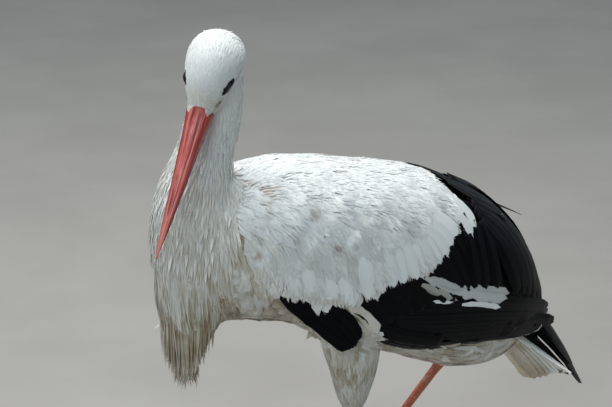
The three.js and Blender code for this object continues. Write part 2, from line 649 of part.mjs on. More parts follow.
const downR = FOOT_R.clone().sub(ANKLE_R).normalize();
const aheadR = downR.clone().multiplyScalar(0.93).add(V(0.02, 0.10, -0.46)).normalize();
const upR = V(0, 0, 0).crossVectors(aheadR, V(1, 0, 0)).normalize();
if (upR.z < 0) upR.multiplyScalar(-1);
const footR = footParts(FOOT_R, aheadR, upR, 17, 0.16, 0.6, V(0, 0.70, -0.71));
const footRPad = anklePad(FOOT_R, downR.clone().multiplyScalar(-1), SHANK_END - 0.4);
const TIBIA_R_TOP = V(-46, 140, 378);
const thighR = thighRight();
const thighRGrown = thighRight(GAP);

const footRBody = join(footR.body, footRPad);
const legR = legParts(TIBIA_R_TOP, ANKLE_R, FOOT_R, thighRGrown);

function clawSolids(foot, body, tag, floor) {
  for (const name of Object.keys(foot.claws)) {
    const { path, side } = foot.claws[name];
    let c = solid(limb(path, 5, 0, side));
    // the body keeps a notch with a hair of room round the claw's root
    const grown = solid(limb(path.map(([p, a, b]) => [p, a + 1.3 * GAP, b + 1.3 * GAP]), 5, 0, side));
    body = body.subtract(grown);
    if (floor) c = cutBelow(c, FLOOR);
    add(`claw_${tag}_${name}`, biggest(c), HORN, 0.35);
  }
  return biggest(body);
}
const footLFinal = clawSolids(footL, footLBody, 'left', true);
const footRFinal = clawSolids(footR, footRBody, 'right', false);

add('foot_left', footLFinal, LEG_RED, 0.55);
add('foot_right', footRFinal, LEG_RED, 0.55);
add('tibia_left', legL.tibia, LEG_RED, 0.55);
add('tarsus_left', legL.tarsus, LEG_RED, 0.55);
add('tibia_right', legR.tibia, LEG_RED, 0.55);
add('tarsus_right', legR.tarsus, LEG_RED, 0.55);

// wings
const wingL = wingParts(1), wingR = wingParts(-1);
add('wing_left_coverts', wingL.coverts, WHITE, 0.8);
add('wing_left_flight', wingL.flight, BLACK, 0.5);
add('wing_right_coverts', wingR.coverts, WHITE, 0.8);
add('wing_right_flight', wingR.flight, BLACK, 0.5);

// alula and primary coverts: a short dark paddle hanging below the wrist
function paddle(side, grow = 0) {
  const n = V(side * 0.93, -0.30, 0.14).normalize();
  const a = blade(V(side * 84, -98, 516), V(side * 95, 26, 424), 19, 5, n, 3, 4, grow);
  const b = blade(V(side * 88, -66, 512), V(side * 98, 23, 440), 14, 4.4, n, 3, 4, grow);
  return solid(a).add(solid(b));
}
const wingsGrown = wingL.grown.add(wingR.grown);
const trunkGrown = trunkSolid(GAP);
const paddleL = biggest(paddle(1).subtract(wingsGrown).subtract(trunkGrown));
const paddleR = biggest(paddle(-1).subtract(wingsGrown).subtract(trunkGrown));
add('wing_left_alula', paddleL, BLACK, 0.5);
add('wing_right_alula', paddleR, BLACK, 0.5);

// folded primaries, crossing over the tail
function primaries(side, grow = 0) {
  const list = [];
  const n = V(side * 0.70, 0.34, 0.62).normalize();
  const spec = side > 0
    ? [[V(28, 240, 436), V(-24, 424, 264), 15], [V(36, 232, 448), V(-6, 392, 304), 17]]
    : [[V(-36, 232, 428), V(-36, 412, 274), 15], [V(-42, 228, 440), V(-32, 380, 304), 17]];
  for (const [root, tip, w] of spec) list.push(solid(blade(root, tip, w, 3.2, n, side > 0 ? 15 : 10, 4, grow)));
  return join(...list);
}
const tailBody = solid(tailGeometry(7));
const tailGrown = solid(tailGeometry(7 + 2.2 * GAP));
const innerWings = wingsGrown;
let primL = primaries(1).subtract(innerWings).subtract(tailGrown).subtract(trunkGrown);
const primLGrown = primaries(1, GAP);
let primR = primaries(-1).subtract(innerWings).subtract(tailGrown).subtract(primLGrown).subtract(trunkGrown);
primL = biggest(primL);
primR = biggest(primR);
add('wing_left_primaries', primL, BLACK, 0.5);
add('wing_right_primaries', primR, BLACK, 0.5);

add('tail', biggest(tailBody), WHITE, 0.8);

// head, bill, eyes
const headGrown = headSolid(GAP);
let head = headSolid();
for (const s of [1, -1]) head = head.subtract(eyeSolid(s, GAP));
head = head.subtract(mandible(true, GAP)).subtract(mandible(false, GAP));
add('head', biggest(head), WHITE, 0.8);
add('bill_upper', biggest(mandible(true)), RED, 0.35);
add('bill_lower', biggest(mandible(false)), RED, 0.35);
add('eye_left', eyeSolid(1), DARK, 0.1);
add('eye_right', eyeSolid(-1), DARK, 0.1);

// neck and breast plumes
const billGrown = mandible(true, GAP).add(mandible(false, GAP));
const neckFull = columnSolid(NECK, 9, 0);
const neck = biggest(cutBelow(neckFull, NECK_SPLIT).subtract(headGrown).subtract(billGrown).subtract(wingsGrown));
const breast = biggest(cutAbove(columnSolid(BREAST, 7).subtract(wingsGrown), NECK_SPLIT - GAP).add(locksSolid().subtract(trunkGrown)));
const neckGrown = cutBelow(columnSolid(NECK, 9, GAP), NECK_SPLIT - GAP);
const breastGrown = cutAbove(columnSolid(BREAST, 7, GAP), NECK_SPLIT);
add('neck', neck, WHITE, 0.85);
add('breast_plumes', breast, WHITE, 0.85);

// trunk last: every neighbour is cut out of it
let trunk = trunkSolid();
const underWings = [[-64, 700], [-127, 645], [-133, 606], [-124, 560], [-107, 520], [-88, 492], [-40, 484], [6, 468], [34, 434],
  [70, 411], [118, 396], [170, 386], [226, 379], [276, 371], [340, 366], [360, 700]];
for (const m of [plate(underWings, -170, 170).subtract(innerShrunk), neckGrown, breastGrown, thighLGrown, thighRGrown, tailGrown,
  shank(TIBIA_R_TOP, ANKLE_R, FOOT_R, GAP)]) trunk = trunk.subtract(m);
add('trunk', biggest(trunk), WHITE, 0.85);
add('thigh_left', biggest(thighL.subtract(wingsGrown).subtract(paddle(1, GAP))), WHITE, 0.85);
add('thigh_right', biggest(thighR.subtract(wingsGrown).subtract(paddle(-1, GAP)).subtract(shank(TIBIA_R_TOP, ANKLE_R, FOOT_R, GAP))), WHITE, 0.85);

// ---------------------------------------------------------------- group, moved so that the sole is the origin
const stork = new THREE.Group();
stork.name = 'white_stork';
for (const { name, m, color, roughness } of pieces) {
  const mesh = new THREE.Mesh(geometry(m), new THREE.MeshStandardMaterial({ color, roughness, metalness: 0 }));
  mesh.name = name;
  stork.add(mesh);
}
stork.position.set(-FOOT_AT[0], -FOOT_AT[1], 0);
stork.updateMatrixWorld(true);

export default stork;
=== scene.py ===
"""White stork, life size: skin, feathers, bill, eyes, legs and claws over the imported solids.

Shapes are worked out in millimetres in the bird's own frame (+Z up, chest towards -Y, left side +X)
and written in metres in the row frame, whose origin is under the left foot.
"""

import math

import bpy
import numpy as np
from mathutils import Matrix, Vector
from mathutils.bvhtree import BVHTree


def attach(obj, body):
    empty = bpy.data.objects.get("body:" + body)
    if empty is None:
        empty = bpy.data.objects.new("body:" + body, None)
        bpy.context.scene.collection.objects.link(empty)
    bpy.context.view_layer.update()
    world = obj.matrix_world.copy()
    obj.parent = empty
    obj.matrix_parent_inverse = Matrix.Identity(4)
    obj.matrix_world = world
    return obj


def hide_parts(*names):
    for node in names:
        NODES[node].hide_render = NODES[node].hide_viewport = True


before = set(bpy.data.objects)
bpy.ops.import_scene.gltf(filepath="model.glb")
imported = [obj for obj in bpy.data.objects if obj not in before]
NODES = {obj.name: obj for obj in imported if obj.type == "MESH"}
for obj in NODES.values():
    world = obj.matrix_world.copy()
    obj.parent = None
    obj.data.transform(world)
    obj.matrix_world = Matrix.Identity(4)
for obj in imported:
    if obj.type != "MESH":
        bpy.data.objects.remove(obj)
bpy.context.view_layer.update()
FOOT = np.array([3.0, 58.0, 0.0])
rng = np.random.default_rng(20417)


def metres(p):
    return (np.asarray(p, float) - FOOT) / 1000.0


# ---------------------------------------------------------------- driving tables (mm)
TRUNK = np.array([
    [-176, 562, 520, 22], [-168, 588, 490, 42], [-154, 606, 474, 57], [-130, 618, 464, 69], [-90, 624, 458, 78],
    [-40, 626, 446, 84], [0, 620, 424, 87], [40, 610, 406, 88], [90, 592, 386, 86],
    [140, 564, 364, 78], [190, 528, 345, 66], [240, 482, 338, 50], [280, 440, 346, 35], [306, 412, 366, 16]], float)
ARCH = np.array([
    [-150, 590, 556, 34, 60], [-136, 610, 552, 58, 110], [-118, 624, 547, 74, 140], [-85, 635, 541, 89, 155],
    [-40, 640, 535, 98, 160], [0, 636, 529, 102, 160], [40, 629, 523, 104, 156], [80, 620, 514, 103, 151],
    [120, 612, 505, 101, 148], [160, 600, 494, 96, 145], [200, 580, 480, 89, 138], [240, 556, 463, 79, 126],
    [275, 519, 444, 65, 108], [299, 484, 426, 50, 86], [318, 446, 406, 34, 58], [330, 412, 388, 18, 34]], float)
NECK = np.array([
    [772, 18, -122, 25, 25], [748, 12, -120, 29, 29], [722, 6, -120, 31, 30], [698, 2, -122, 31.5, 31.5],
    [665, 0, -130, 33, 32], [640, 0, -138, 37.5, 37], [612, 0, -146, 45, 43], [585, 0, -149, 50, 46],
    [556, 0, -150, 52, 46]], float)
BREAST = np.array([
    [562, 0, -150, 52, 46], [535, 0, -150, 52, 44], [505, 0, -151, 50, 40], [475, 0, -154, 44, 35],
    [450, 0, -157, 35, 27], [432, 0, -157, 25, 19], [420, 0, -156, 13, 10]], float)
SKULL = np.array([
    [-68, -12, 7, 8], [-64, -10, 15.5, 16.5], [-56, -6, 23, 24.5], [-44, -1.5, 29, 30.5], [-30, 1.5, 31.5, 32.3],
    [-14, 2.5, 30.5, 30.6], [1, 1.5, 26.4, 26.6], [14, -1.6, 21.4, 22.2], [23, -4.2, 17.0, 18.4], [28, -5.3, 14.3, 16.9],
    [32, -6.4, 12.0, 14.8], [38, -8.0, 8.6, 11.0]], float)
LOWER = np.array([
    [-128, 606], [-120, 562], [-104, 524], [-84, 497], [-40, 490], [6, 476], [26, 462], [38, 434], [70, 418],
    [118, 402], [170, 393], [226, 386], [276, 378], [312, 374], [350, 374]], float)
HEAD_AT = np.array([29.8, -143, 749.0])
HEAD_TURN, HEAD_PITCH, HEAD_ROLL = (math.radians(v) for v in (33, 53, 17))
EYE_RADIUS, EYE_SPREAD, EYE_RISE = 6.8, 20.4, 6.0
ANKLE_R = np.array([-45, 236, 342.0])
FOOT_R = np.array([-45, 236 - 221 * 0.7, 342 - 221 * 0.714])
TIBIA_R_TOP = np.array([-46, 140, 378.0])
LEG_L_TOP = np.array([47, 36, 358.0])
ANKLE_L = np.array([28, 51, 236.0])
FOOT_L = np.array([3, 58, 0.0])
THIGH_L = np.array([[462, 50, 30, 34, 42], [432, 50, 33, 34, 42], [408, 49.5, 35, 31, 36], [385, 49, 36, 26.5, 29],
                    [365, 48, 36, 22, 23.5], [350, 47, 36.5, 18, 19], [338, 45.5, 37, 13.5, 14], [328, 44, 38, 8.5, 8.5]], float)


def table(rows, key):
    """Smooth reading of a table by its first column; key is an array."""
    rows = rows if rows[-1, 0] > rows[0, 0] else rows[::-1]
    x = rows[:, 0]
    k = np.clip(np.asarray(key, float), x[0], x[-1])
    i = np.clip(np.searchsorted(x, k, side="right") - 1, 0, len(x) - 2)
    a, d = np.maximum(i - 1, 0), np.minimum(i + 2, len(x) - 1)
    b, c = i, i + 1
    span = x[c] - x[b]
    t = ((k - x[b]) / span)[..., None]
    v = rows[:, 1:]
    m0 = np.where((a == b)[..., None], v[c] - v[b], (v[c] - v[a]) / np.maximum(x[c] - x[a], 1e-9)[..., None] * span[..., None])
    m1 = np.where((c == d)[..., None], v[c] - v[b], (v[d] - v[b]) / np.maximum(x[d] - x[b], 1e-9)[..., None] * span[..., None])
    t2, t3 = t * t, t * t * t
    return (2 * t3 - 3 * t2 + 1) * v[b] + (t3 - 2 * t2 + t) * m0 + (-2 * t3 + 3 * t2) * v[c] + (t3 - t2) * m1


def unit(v):
    return v / np.maximum(np.linalg.norm(v, axis=-1, keepdims=True), 1e-9)


def smoothstep(a, b, x):
    t = np.clip((x - a) / (b - a), 0, 1)
    return t * t * (3 - 2 * t)


def head_axes():
    flat = np.array([math.sin(HEAD_TURN), -math.cos(HEAD_TURN), 0.0])
    f = flat * math.cos(HEAD_PITCH) + np.array([0, 0, -math.sin(HEAD_PITCH)])
    l0 = np.array([-flat[1], flat[0], 0.0])
    u0 = np.cross(f, l0)
    left = l0 * math.cos(HEAD_ROLL) - u0 * math.sin(HEAD_ROLL)
    up = u0 * math.cos(HEAD_ROLL) + l0 * math.sin(HEAD_ROLL)
    return np.array([f, left, up])


HEAD = head_axes()


def in_head(flu):
    return HEAD_AT + np.asarray(flu, float) @ HEAD


def head_coords(p):
    return (np.asarray(p, float) - HEAD_AT) @ HEAD.T


# ---------------------------------------------------------------- mesh tools
def new_object(name, verts, faces, mat, body="root", smooth=True, flat_faces=None, attrs=None, uv=None, uv_name="OFBake", normals=None):
    """verts in mm of the bird's frame; faces an int array of triangles or quads."""
    me = bpy.data.meshes.new(name)
    v = metres(verts).astype(np.float32)
    f = np.asarray(faces, np.int32)
    k = f.shape[1]
    me.vertices.add(len(v))
    me.vertices.foreach_set("co", v.ravel())
    me.loops.add(f.size)
    me.loops.foreach_set("vertex_index", f.ravel())
    me.polygons.add(len(f))
    me.polygons.foreach_set("loop_start", np.arange(0, f.size, k, dtype=np.int32))
    me.update(calc_edges=True)
    me.validate(verbose=False)
    if flat_faces is not None:
        a = me.attributes.get("sharp_face") or me.attributes.new("sharp_face", "BOOLEAN", "FACE")
        a.data.foreach_set("value", np.asarray(flat_faces, bool))
    elif not smooth:
        a = me.attributes.get("sharp_face") or me.attributes.new("sharp_face", "BOOLEAN", "FACE")
        a.data.foreach_set("value", np.ones(len(f), bool))
    for key, arr in (attrs or {}).items():
        a = me.attributes.new(key, "FLOAT_VECTOR", "POINT")
        a.data.foreach_set("vector", np.asarray(arr, np.float32).ravel())
    if uv is not None:
        layer = me.uv_layers.new(name=uv_name)
        layer.data.foreach_set("uv", np.asarray(uv, np.float32)[f.ravel()].ravel() if len(uv) == len(v) else np.asarray(uv, np.float32).ravel())
    if normals is not None:
        nl = np.asarray(normals, np.float32)[f.ravel()].reshape(len(f), k, 3)
        face_n = unit(np.cross(v[f[:, 1]] - v[f[:, 0]], v[f[:, 2]] - v[f[:, 0]]).astype(float) * 1e6 + 1e-12)
        turned = (nl * face_n[:, None, :]).sum(2).min(1) < 0.30
        nl[turned] = unit(0.9 * nl[turned] + face_n[turned][:, None, :])
        nl[np.asarray(flat_faces, bool)] = 0
        me.normals_split_custom_set(nl.reshape(-1, 3))
    me.materials.append(mat)
    ob = bpy.data.objects.new(name, me)
    bpy.context.scene.collection.objects.link(ob)
    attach(ob, body)
    return ob


def loft(rings):
    """Closed triangle mesh over rings (r, n, 3); the ends close on their middles."""
    r, n, _ = rings.shape
    v = np.concatenate([rings.reshape(-1, 3), rings[0].mean(0)[None], rings[-1].mean(0)[None]])
    i = np.arange(n)
    j = (i + 1) % n
    out = []
    for k in range(r - 1):
        p, q = k * n + i, k * n + j
        out += [np.stack([p, q, q + n], 1), np.stack([p, q + n, p + n], 1)]
    last = (r - 1) * n
    out += [np.stack([np.full(n, r * n), j, i], 1), np.stack([np.full(n, r * n + 1), last + i, last + j], 1)]
    f = np.concatenate(out)
    a, b, c = v[f[:, 0]], v[f[:, 1]], v[f[:, 2]]
    if np.einsum("ij,ij->", a, np.cross(b, c)) < 0:
        f = f[:, ::-1]
    return v, f


def joined(parts):
    vs, fs, at = [], [], 0
    for v, f in parts:
        vs.append(v)
        fs.append(f + at)
        at += len(v)
    return np.concatenate(vs), np.concatenate(fs)


def limb(path, ra, rb, sides=24, side_axis=(1.0, 0, 0), power=2.0):
    """Rings of elliptical section about a path; ra across side_axis, rb the other way."""
    path = np.asarray(path, float)
    t = unit(np.gradient(path, axis=0))
    s = unit(np.asarray(side_axis, float) - (t @ np.asarray(side_axis, float))[:, None] * t)
    d = np.cross(t, s)
    a = np.linspace(0, 2 * np.pi, sides, endpoint=False)
    c, sn = np.cos(a), np.sin(a)
    e = 2 / power
    ca, sa = np.sign(c) * np.abs(c) ** e, np.sign(sn) * np.abs(sn) ** e
    return path[:, None] + np.asarray(ra)[:, None, None] * ca[None, :, None] * s[:, None] + np.asarray(rb)[:, None, None] * sa[None, :, None] * d[:, None]


def remeshed(v, f, voxel):
    """One closed skin over overlapping closed shells."""
    me = bpy.data.meshes.new("tmp_shells")
    me.from_pydata(v.tolist(), [], f.tolist())
    ob = bpy.data.objects.new("tmp_shells", me)
    bpy.context.scene.collection.objects.link(ob)
    m = ob.modifiers.new("fuse", "REMESH")
    m.mode = "VOXEL"
    m.voxel_size = voxel
    m.adaptivity = 0.0
    dg = bpy.context.evaluated_depsgraph_get()
    ev = ob.evaluated_get(dg).to_mesh()
    ev.calc_loop_triangles()
    co = np.zeros(len(ev.vertices) * 3, np.float32)
    ev.vertices.foreach_get("co", co)
    tri = np.zeros(len(ev.loop_triangles) * 3, np.int32)
    ev.loop_triangles.foreach_get("vertices", tri)
    quads = np.zeros(len(ev.loops), np.int32)
    ev.loops.foreach_get("vertex_index", quads)
    all_quads = all(len(p.vertices) == 4 for p in ev.polygons[:50])
    ob.evaluated_get(dg).to_mesh_clear()
    bpy.data.objects.remove(ob)
    bpy.data.meshes.remove(me)
    co = co.reshape(-1, 3).astype(float)
    tri = tri.reshape(-1, 3)
    q = quads.reshape(-1, 4) if all_quads and quads.size % 4 == 0 else None
    return co, tri, q


def edge_pairs(tri):
    e = np.concatenate([tri[:, [0, 1]], tri[:, [1, 2]], tri[:, [2, 0]]])
    e = np.unique(np.sort(e, axis=1), axis=0)
    return e


def relax(co, tri, rounds, amount):
    """Even smoothing; amount may be one number or one per vertex."""
    e = edge_pairs(tri)
    n = len(co)
    deg = np.bincount(e.ravel(), minlength=n)[:, None]
    amount = np.broadcast_to(np.asarray(amount, float), (n,))[:, None]
    for k in range(rounds):
        s = np.zeros_like(co)
        for ax in range(3):
            s[:, ax] = np.bincount(e[:, 0], co[e[:, 1], ax], n) + np.bincount(e[:, 1], co[e[:, 0], ax], n)
        avg = s / deg
        lam = 0.55 if k % 2 == 0 else -0.50
        co = co + (avg - co) * lam * amount if amount.max() <= 1 else co
    return co


def vertex_normals(co, tri):
    a, b, c = co[tri[:, 0]], co[tri[:, 1]], co[tri[:, 2]]
    fn = np.cross(b - a, c - a)
    n = np.zeros_like(co)
    for k in range(3):
        for ax in range(3):
            n[:, ax] += np.bincount(tri[:, k], fn[:, ax], len(co))
    return unit(n)


class Surface:
    """Nearest-point and ray queries, with smooth normals, in mm."""

    def __init__(self, co, tri):
        self.co, self.tri = co, tri
        self.n = vertex_normals(co, tri)
        self.tree = BVHTree.FromPolygons(co.tolist(), tri.tolist())

    def _normals(self, idx, pts):
        t = self.tri[idx]
        a, b, c = self.co[t[:, 0]], self.co[t[:, 1]], self.co[t[:, 2]]
        # inverse-distance weights are enough for a smooth turn
        w = np.stack([1 / (1e-3 + np.linalg.norm(pts - q, axis=1)) for q in (a, b, c)], 1)
        w /= w.sum(1, keepdims=True)
        return unit((self.n[t] * w[:, :, None]).sum(1))

    def near(self, pts):
        out, idx = np.empty_like(pts), np.empty(len(pts), int)
        near = self.tree.find_nearest
        for i, p in enumerate(pts):
            q, _, k, _ = near(p)
            out[i] = q
            idx[i] = k
        return out, self._normals(idx, out)

    def cast(self, origins, dirs):
        out, idx, hit = np.zeros_like(origins), np.zeros(len(origins), int), np.zeros(len(origins), bool)
        ray = self.tree.ray_cast
        for i in range(len(origins)):
            q, _, k, _ = ray(Vector(origins[i]), Vector(dirs[i]))
            if q is not None:
                out[i] = q
                idx[i] = k
                hit[i] = True
        return out, self._normals(idx, out), hit


# ---------------------------------------------------------------- the body's own shape
def trunk_shell():
    y = np.linspace(-176, 306, 90)
    top, bottom, wide = table(TRUNK, y).T
    a = np.linspace(0, 2 * np.pi, 72, endpoint=False)
    c, s = np.cos(a), np.sin(a)
    p = 2 / 2.25
    ca, sa = np.sign(c) * np.abs(c) ** p, np.sign(s) * np.abs(s) ** p
    r = np.empty((len(y), len(a), 3))
    r[:, :, 0] = wide[:, None] * ca
    r[:, :, 1] = y[:, None]
    r[:, :, 2] = ((top + bottom) / 2)[:, None] + ((top - bottom) / 2)[:, None] * sa
    return loft(r)


def cape_shell():
    y = np.linspace(-127, 330, 110)
    crest, zc, wide, low = table(ARCH, y).T
    zl = np.interp(y, LOWER[:, 0], LOWER[:, 1])
    p = 2 / 2.35
    below = np.clip((zc - zl) / low, 0, 0.999) ** (1 / p)
    above = np.clip((zl - zc) / (crest - zc), 0, 0.98) ** (1 / p)
    a0 = np.where(zl < zc, -np.arcsin(below), np.arcsin(above))
    k = np.linspace(0, 1, 80)
    a = a0[:, None] + (np.pi - 2 * a0)[:, None] * k
    c, s = np.cos(a), np.sin(a)
    h = np.where(s > 0, (crest - zc)[:, None], low[:, None])
    r = np.empty(a.shape + (3,))
    r[..., 0] = wide[:, None] * np.sign(c) * np.abs(c) ** p
    r[..., 1] = y[:, None]
    r[..., 2] = zc[:, None] + h * np.sign(s) * np.abs(s) ** p
    return loft(r)


def column(rows, count=50, sides=48):
    z = np.linspace(rows[0, 0], rows[-1, 0], count)
    x, y, a, b = table(rows, z).T
    path = np.stack([x, y, z], 1)
    return loft(limb(path, a, b, sides))


def skull_shell():
    f = np.linspace(SKULL[0, 0], SKULL[-1, 0], 60)
    c, h, w = table(SKULL, f).T
    a = np.linspace(0, 2 * np.pi, 64, endpoint=False)
    cs, sn = np.cos(a), np.sin(a)
    p = 2 / 2.1
    taper = np.where(sn > 0, 1 - 0.10 * sn, 1.0)
    flu = np.empty((len(f), len(a), 3))
    flu[..., 0] = f[:, None]
    flu[..., 1] = w[:, None] * taper * np.sign(cs) * np.abs(cs) ** p
    flu[..., 2] = c[:, None] + h[:, None] * np.sign(sn) * np.abs(sn) ** p
    return loft(in_head(flu.reshape(-1, 3)).reshape(flu.shape))


def thigh_right_path(count=40):
    t = np.linspace(0, 1, count)
    hip, end = np.array([-47, 50, 424.0]), np.array([-46, 150, 374.0])
    path = hip + (end - hip) * t[:, None]
    path[:, 2] -= 6 * np.sin(np.pi * t)
    r = 36 + (7.2 - 36) * t ** 1.25
    return path, r


def thigh_left_path(count=40):
    z = np.linspace(462, 329, count)
    x, y, a, b = table(THIGH_L, z).T
    return np.stack([x, y, z], 1), a, b


def body_surface():
    tr_path, tr = thigh_right_path()
    tl_path, ta, tb = thigh_left_path()
    parts = [trunk_shell(), cape_shell(), column(NECK), column(BREAST), skull_shell(),
             loft(limb(tl_path, ta, tb, 36)), loft(limb(tr_path, tr * 0.8, tr, 36))]
    v, f = joined(parts)
    co, tri, quads = remeshed(v, f, 3.4)
    # soften the meeting lines, but keep the head and the legs' ends crisp
    hc = head_coords(co)
    in_face = (hc[:, 0] > -66) & (np.abs(hc[:, 1]) < 40) & (np.abs(hc[:, 2]) < 42)
    keep = np.where(in_face, 0.25, 1.0) * np.where(co[:, 2] < 385, 0.5, 1.0)
    co = relax(co, tri, 6, 0.9)
    e = edge_pairs(tri)
    n = len(co)
    deg = np.bincount(e.ravel(), minlength=n)[:, None]
    for _ in range(14):
        s = np.zeros_like(co)
        for ax in range(3):
            s[:, ax] = np.bincount(e[:, 0], co[e[:, 1], ax], n) + np.bincount(e[:, 1], co[e[:, 0], ax], n)
        co = co + (s / deg - co) * 0.5 * keep[:, None] * 0.8
    return co, tri, quads


def nearest_on(path, p):
    d = np.linalg.norm(p[:, None] - path[None], axis=2)
    k = d.argmin(1)
    return k, d[np.arange(len(p)), k]


NECK_Z = np.linspace(776, 556, 90)
NECK_PATH = np.stack([*table(NECK, NECK_Z).T[:2], NECK_Z], 1)
BREAST_Z = np.linspace(562, 420, 60)
BREAST_PATH = np.stack([*table(BREAST, BREAST_Z).T[:2], BREAST_Z], 1)
HEADR, NECKR, BREASTR, WINGR, BELLYR, THIGHL, THIGHR = range(7)


def arch_value(p):
    crest, zc, wide, low = table(ARCH, p[:, 1]).T
    h = np.where(p[:, 2] > zc, crest - zc, low)
    return (np.abs(p[:, 0]) / wide) ** 2.35 + (np.abs(p[:, 2] - zc) / h) ** 2.35


def region(p):
    """Which tract of the plumage a point of the body's surface belongs to."""
    out = np.full(len(p), BELLYR)
    y, z = p[:, 1], p[:, 2]
    zl = np.interp(y, LOWER[:, 0], LOWER[:, 1])
    wing = (y > -132) & (z > zl - 4) & (arch_value(p) > 0.74) & (z < table(ARCH, y)[:, 0] + 14)
    tl, ta, _ = thigh_left_path()
    k, d = nearest_on(tl, p)
    thl = (d < ta[k] * 1.25 + 12) & (z < 428) & (p[:, 0] > 8)
    tr, rr = thigh_right_path()
    k2, d2 = nearest_on(tr, p)
    thr = (d2 < rr[k2] + 7) & (p[:, 0] < -12) & (z < 418) & (y > 30)
    zb = table(TRUNK, y)[:, 1]
    out[thl & (z < zb + 16)] = THIGHL
    out[thr & (z < zb + 14)] = THIGHR
    breast = (y < -96) & (z <= 566) & (nearest_on(BREAST_PATH, p)[1] < 66)
    out[breast] = BREASTR
    out[wing] = WINGR
    kn, dn = nearest_on(NECK_PATH, p)
    radius = table(NECK, NECK_Z)[:, 2][kn]
    neck = (z > 560) & (dn < radius + 12) & ~(wing & (y > -104))
    out[neck] = NECKR
    hc = head_coords(p)
    sk = table(SKULL, hc[:, 0])
    inside = (hc[:, 0] > -66) & (((hc[:, 1] / (sk[:, 2] + 6)) ** 2 + ((hc[:, 2] - sk[:, 0]) / (sk[:, 1] + 6)) ** 2) < 1)
    # the underside of the rear skull belongs to the neck
    inside &= ~((hc[:, 2] < -10) & (hc[:, 0] < -6) & (p[:, 2] < 752))
    out[inside] = HEADR
    return out



# ---------------------------------------------------------------- where each root sits on an unwrap of the skin
def unwrap(p, reg, about=None):
    """Place of points on the flat layout of the skin: one patch per tract, by angle round it and length along it."""
    p = np.asarray(p, float)
    uv = np.zeros((len(p), 2))

    def turn(a, k):
        if about is None:
            return a
        ref = about[k]
        return ref + (a - ref + np.pi) % (2 * np.pi) - np.pi

    for code in range(7):
        k = reg == code
        if not k.any():
            continue
        q = p[k]
        if code == WINGR:
            zc = table(ARCH, q[:, 1])[:, 1]
            a = turn(np.arctan2(q[:, 0], q[:, 2] - zc + 1e-6), k)
            uv[k] = np.stack([0.02 + 0.46 * (q[:, 1] + 140) / 490, 0.25 + 0.23 * a / np.pi], 1)
        elif code == BELLYR:
            top, bottom, _ = table(TRUNK, q[:, 1]).T
            a = turn(np.arctan2(q[:, 0], (top + bottom) / 2 - q[:, 2]), k)
            uv[k] = np.stack([0.52 + 0.46 * (q[:, 1] + 180) / 500, 0.25 + 0.23 * a / np.pi], 1)
        elif code == HEADR:
            h = head_coords(q)
            a = turn(np.arctan2(h[:, 1], h[:, 2]), k)
            uv[k] = np.stack([0.02 + 0.20 * (h[:, 0] + 75) / 120, 0.62 + 0.10 * a / np.pi], 1)
        elif code == NECKR:
            i, _ = nearest_on(NECK_PATH, q)
            c = NECK_PATH[i]
            a = turn(np.arctan2(q[:, 0] - c[:, 0], q[:, 1] - c[:, 1]), k)
            uv[k] = np.stack([0.36 + 0.10 * a / np.pi, 0.52 + 0.22 * (q[:, 2] - 550) / 230], 1)
        elif code == BREASTR:
            i, _ = nearest_on(BREAST_PATH, q)
            c = BREAST_PATH[i]
            a = turn(np.arctan2(q[:, 0] - c[:, 0], q[:, 1] - c[:, 1]), k)
            uv[k] = np.stack([0.62 + 0.10 * a / np.pi, 0.52 + 0.22 * (q[:, 2] - 400) / 175], 1)
        else:
            path = thigh_left_path()[0] if code == THIGHL else thigh_right_path()[0]
            i, _ = nearest_on(path, q)
            c = path[i]
            a = turn(np.arctan2(q[:, 0] - c[:, 0], q[:, 1] - c[:, 1]), k)
            x = 0.80 if code == THIGHL else 0.92
            uv[k] = np.stack([x + 0.045 * a / np.pi, 0.52 + 0.30 * i / len(path)], 1)
    return uv


def unwrap_angle(p, reg):
    """The angle that unwrap uses, so that a face's corners stay on one side of the cut."""
    out = np.zeros(len(p))
    zc = table(ARCH, p[:, 1])[:, 1]
    mid = table(TRUNK, p[:, 1])[:, :2].mean(1)
    h = head_coords(p)
    nk = NECK_PATH[nearest_on(NECK_PATH, p)[0]]
    bk = BREAST_PATH[nearest_on(BREAST_PATH, p)[0]]
    lk = thigh_left_path()[0][nearest_on(thigh_left_path()[0], p)[0]]
    rk = thigh_right_path()[0][nearest_on(thigh_right_path()[0], p)[0]]
    for code, a in ((WINGR, np.arctan2(p[:, 0], p[:, 2] - zc + 1e-6)), (BELLYR, np.arctan2(p[:, 0], mid - p[:, 2])),
                    (HEADR, np.arctan2(h[:, 1], h[:, 2])), (NECKR, np.arctan2(p[:, 0] - nk[:, 0], p[:, 1] - nk[:, 1])),
                    (BREASTR, np.arctan2(p[:, 0] - bk[:, 0], p[:, 1] - bk[:, 1])),
                    (THIGHL, np.arctan2(p[:, 0] - lk[:, 0], p[:, 1] - lk[:, 1])),
                    (THIGHR, np.arctan2(p[:, 0] - rk[:, 0], p[:, 1] - rk[:, 1]))):
        out[reg == code] = a[reg == code]
    return out


# ---------------------------------------------------------------- the black of the wing
# side view (y, z): the rear and lower limit of the white coverts and scapulars
WHITE_EDGE = [(-150, 500), (-84, 503), (-62, 495), (-48, 494), (-24, 466), (-8, 476), (6, 478), (28, 488), (57, 497), (90, 501),
              (112, 508), (132, 519), (150, 540), (158, 548), (176, 532), (186, 540), (184, 556), (172, 574), (162, 596), (158, 660), (-150, 700)]


def inside(poly, q):
    x, y = q[:, 0], q[:, 1]
    out = np.zeros(len(q), bool)
    n = len(poly)
    for i in range(n):
        (x0, y0), (x1, y1) = poly[i], poly[(i + 1) % n]
        cross = (y0 > y) != (y1 > y)
        out ^= cross & (x < (x1 - x0) * (y - y0) / (y1 - y0 + 1e-12) + x0)
    return out


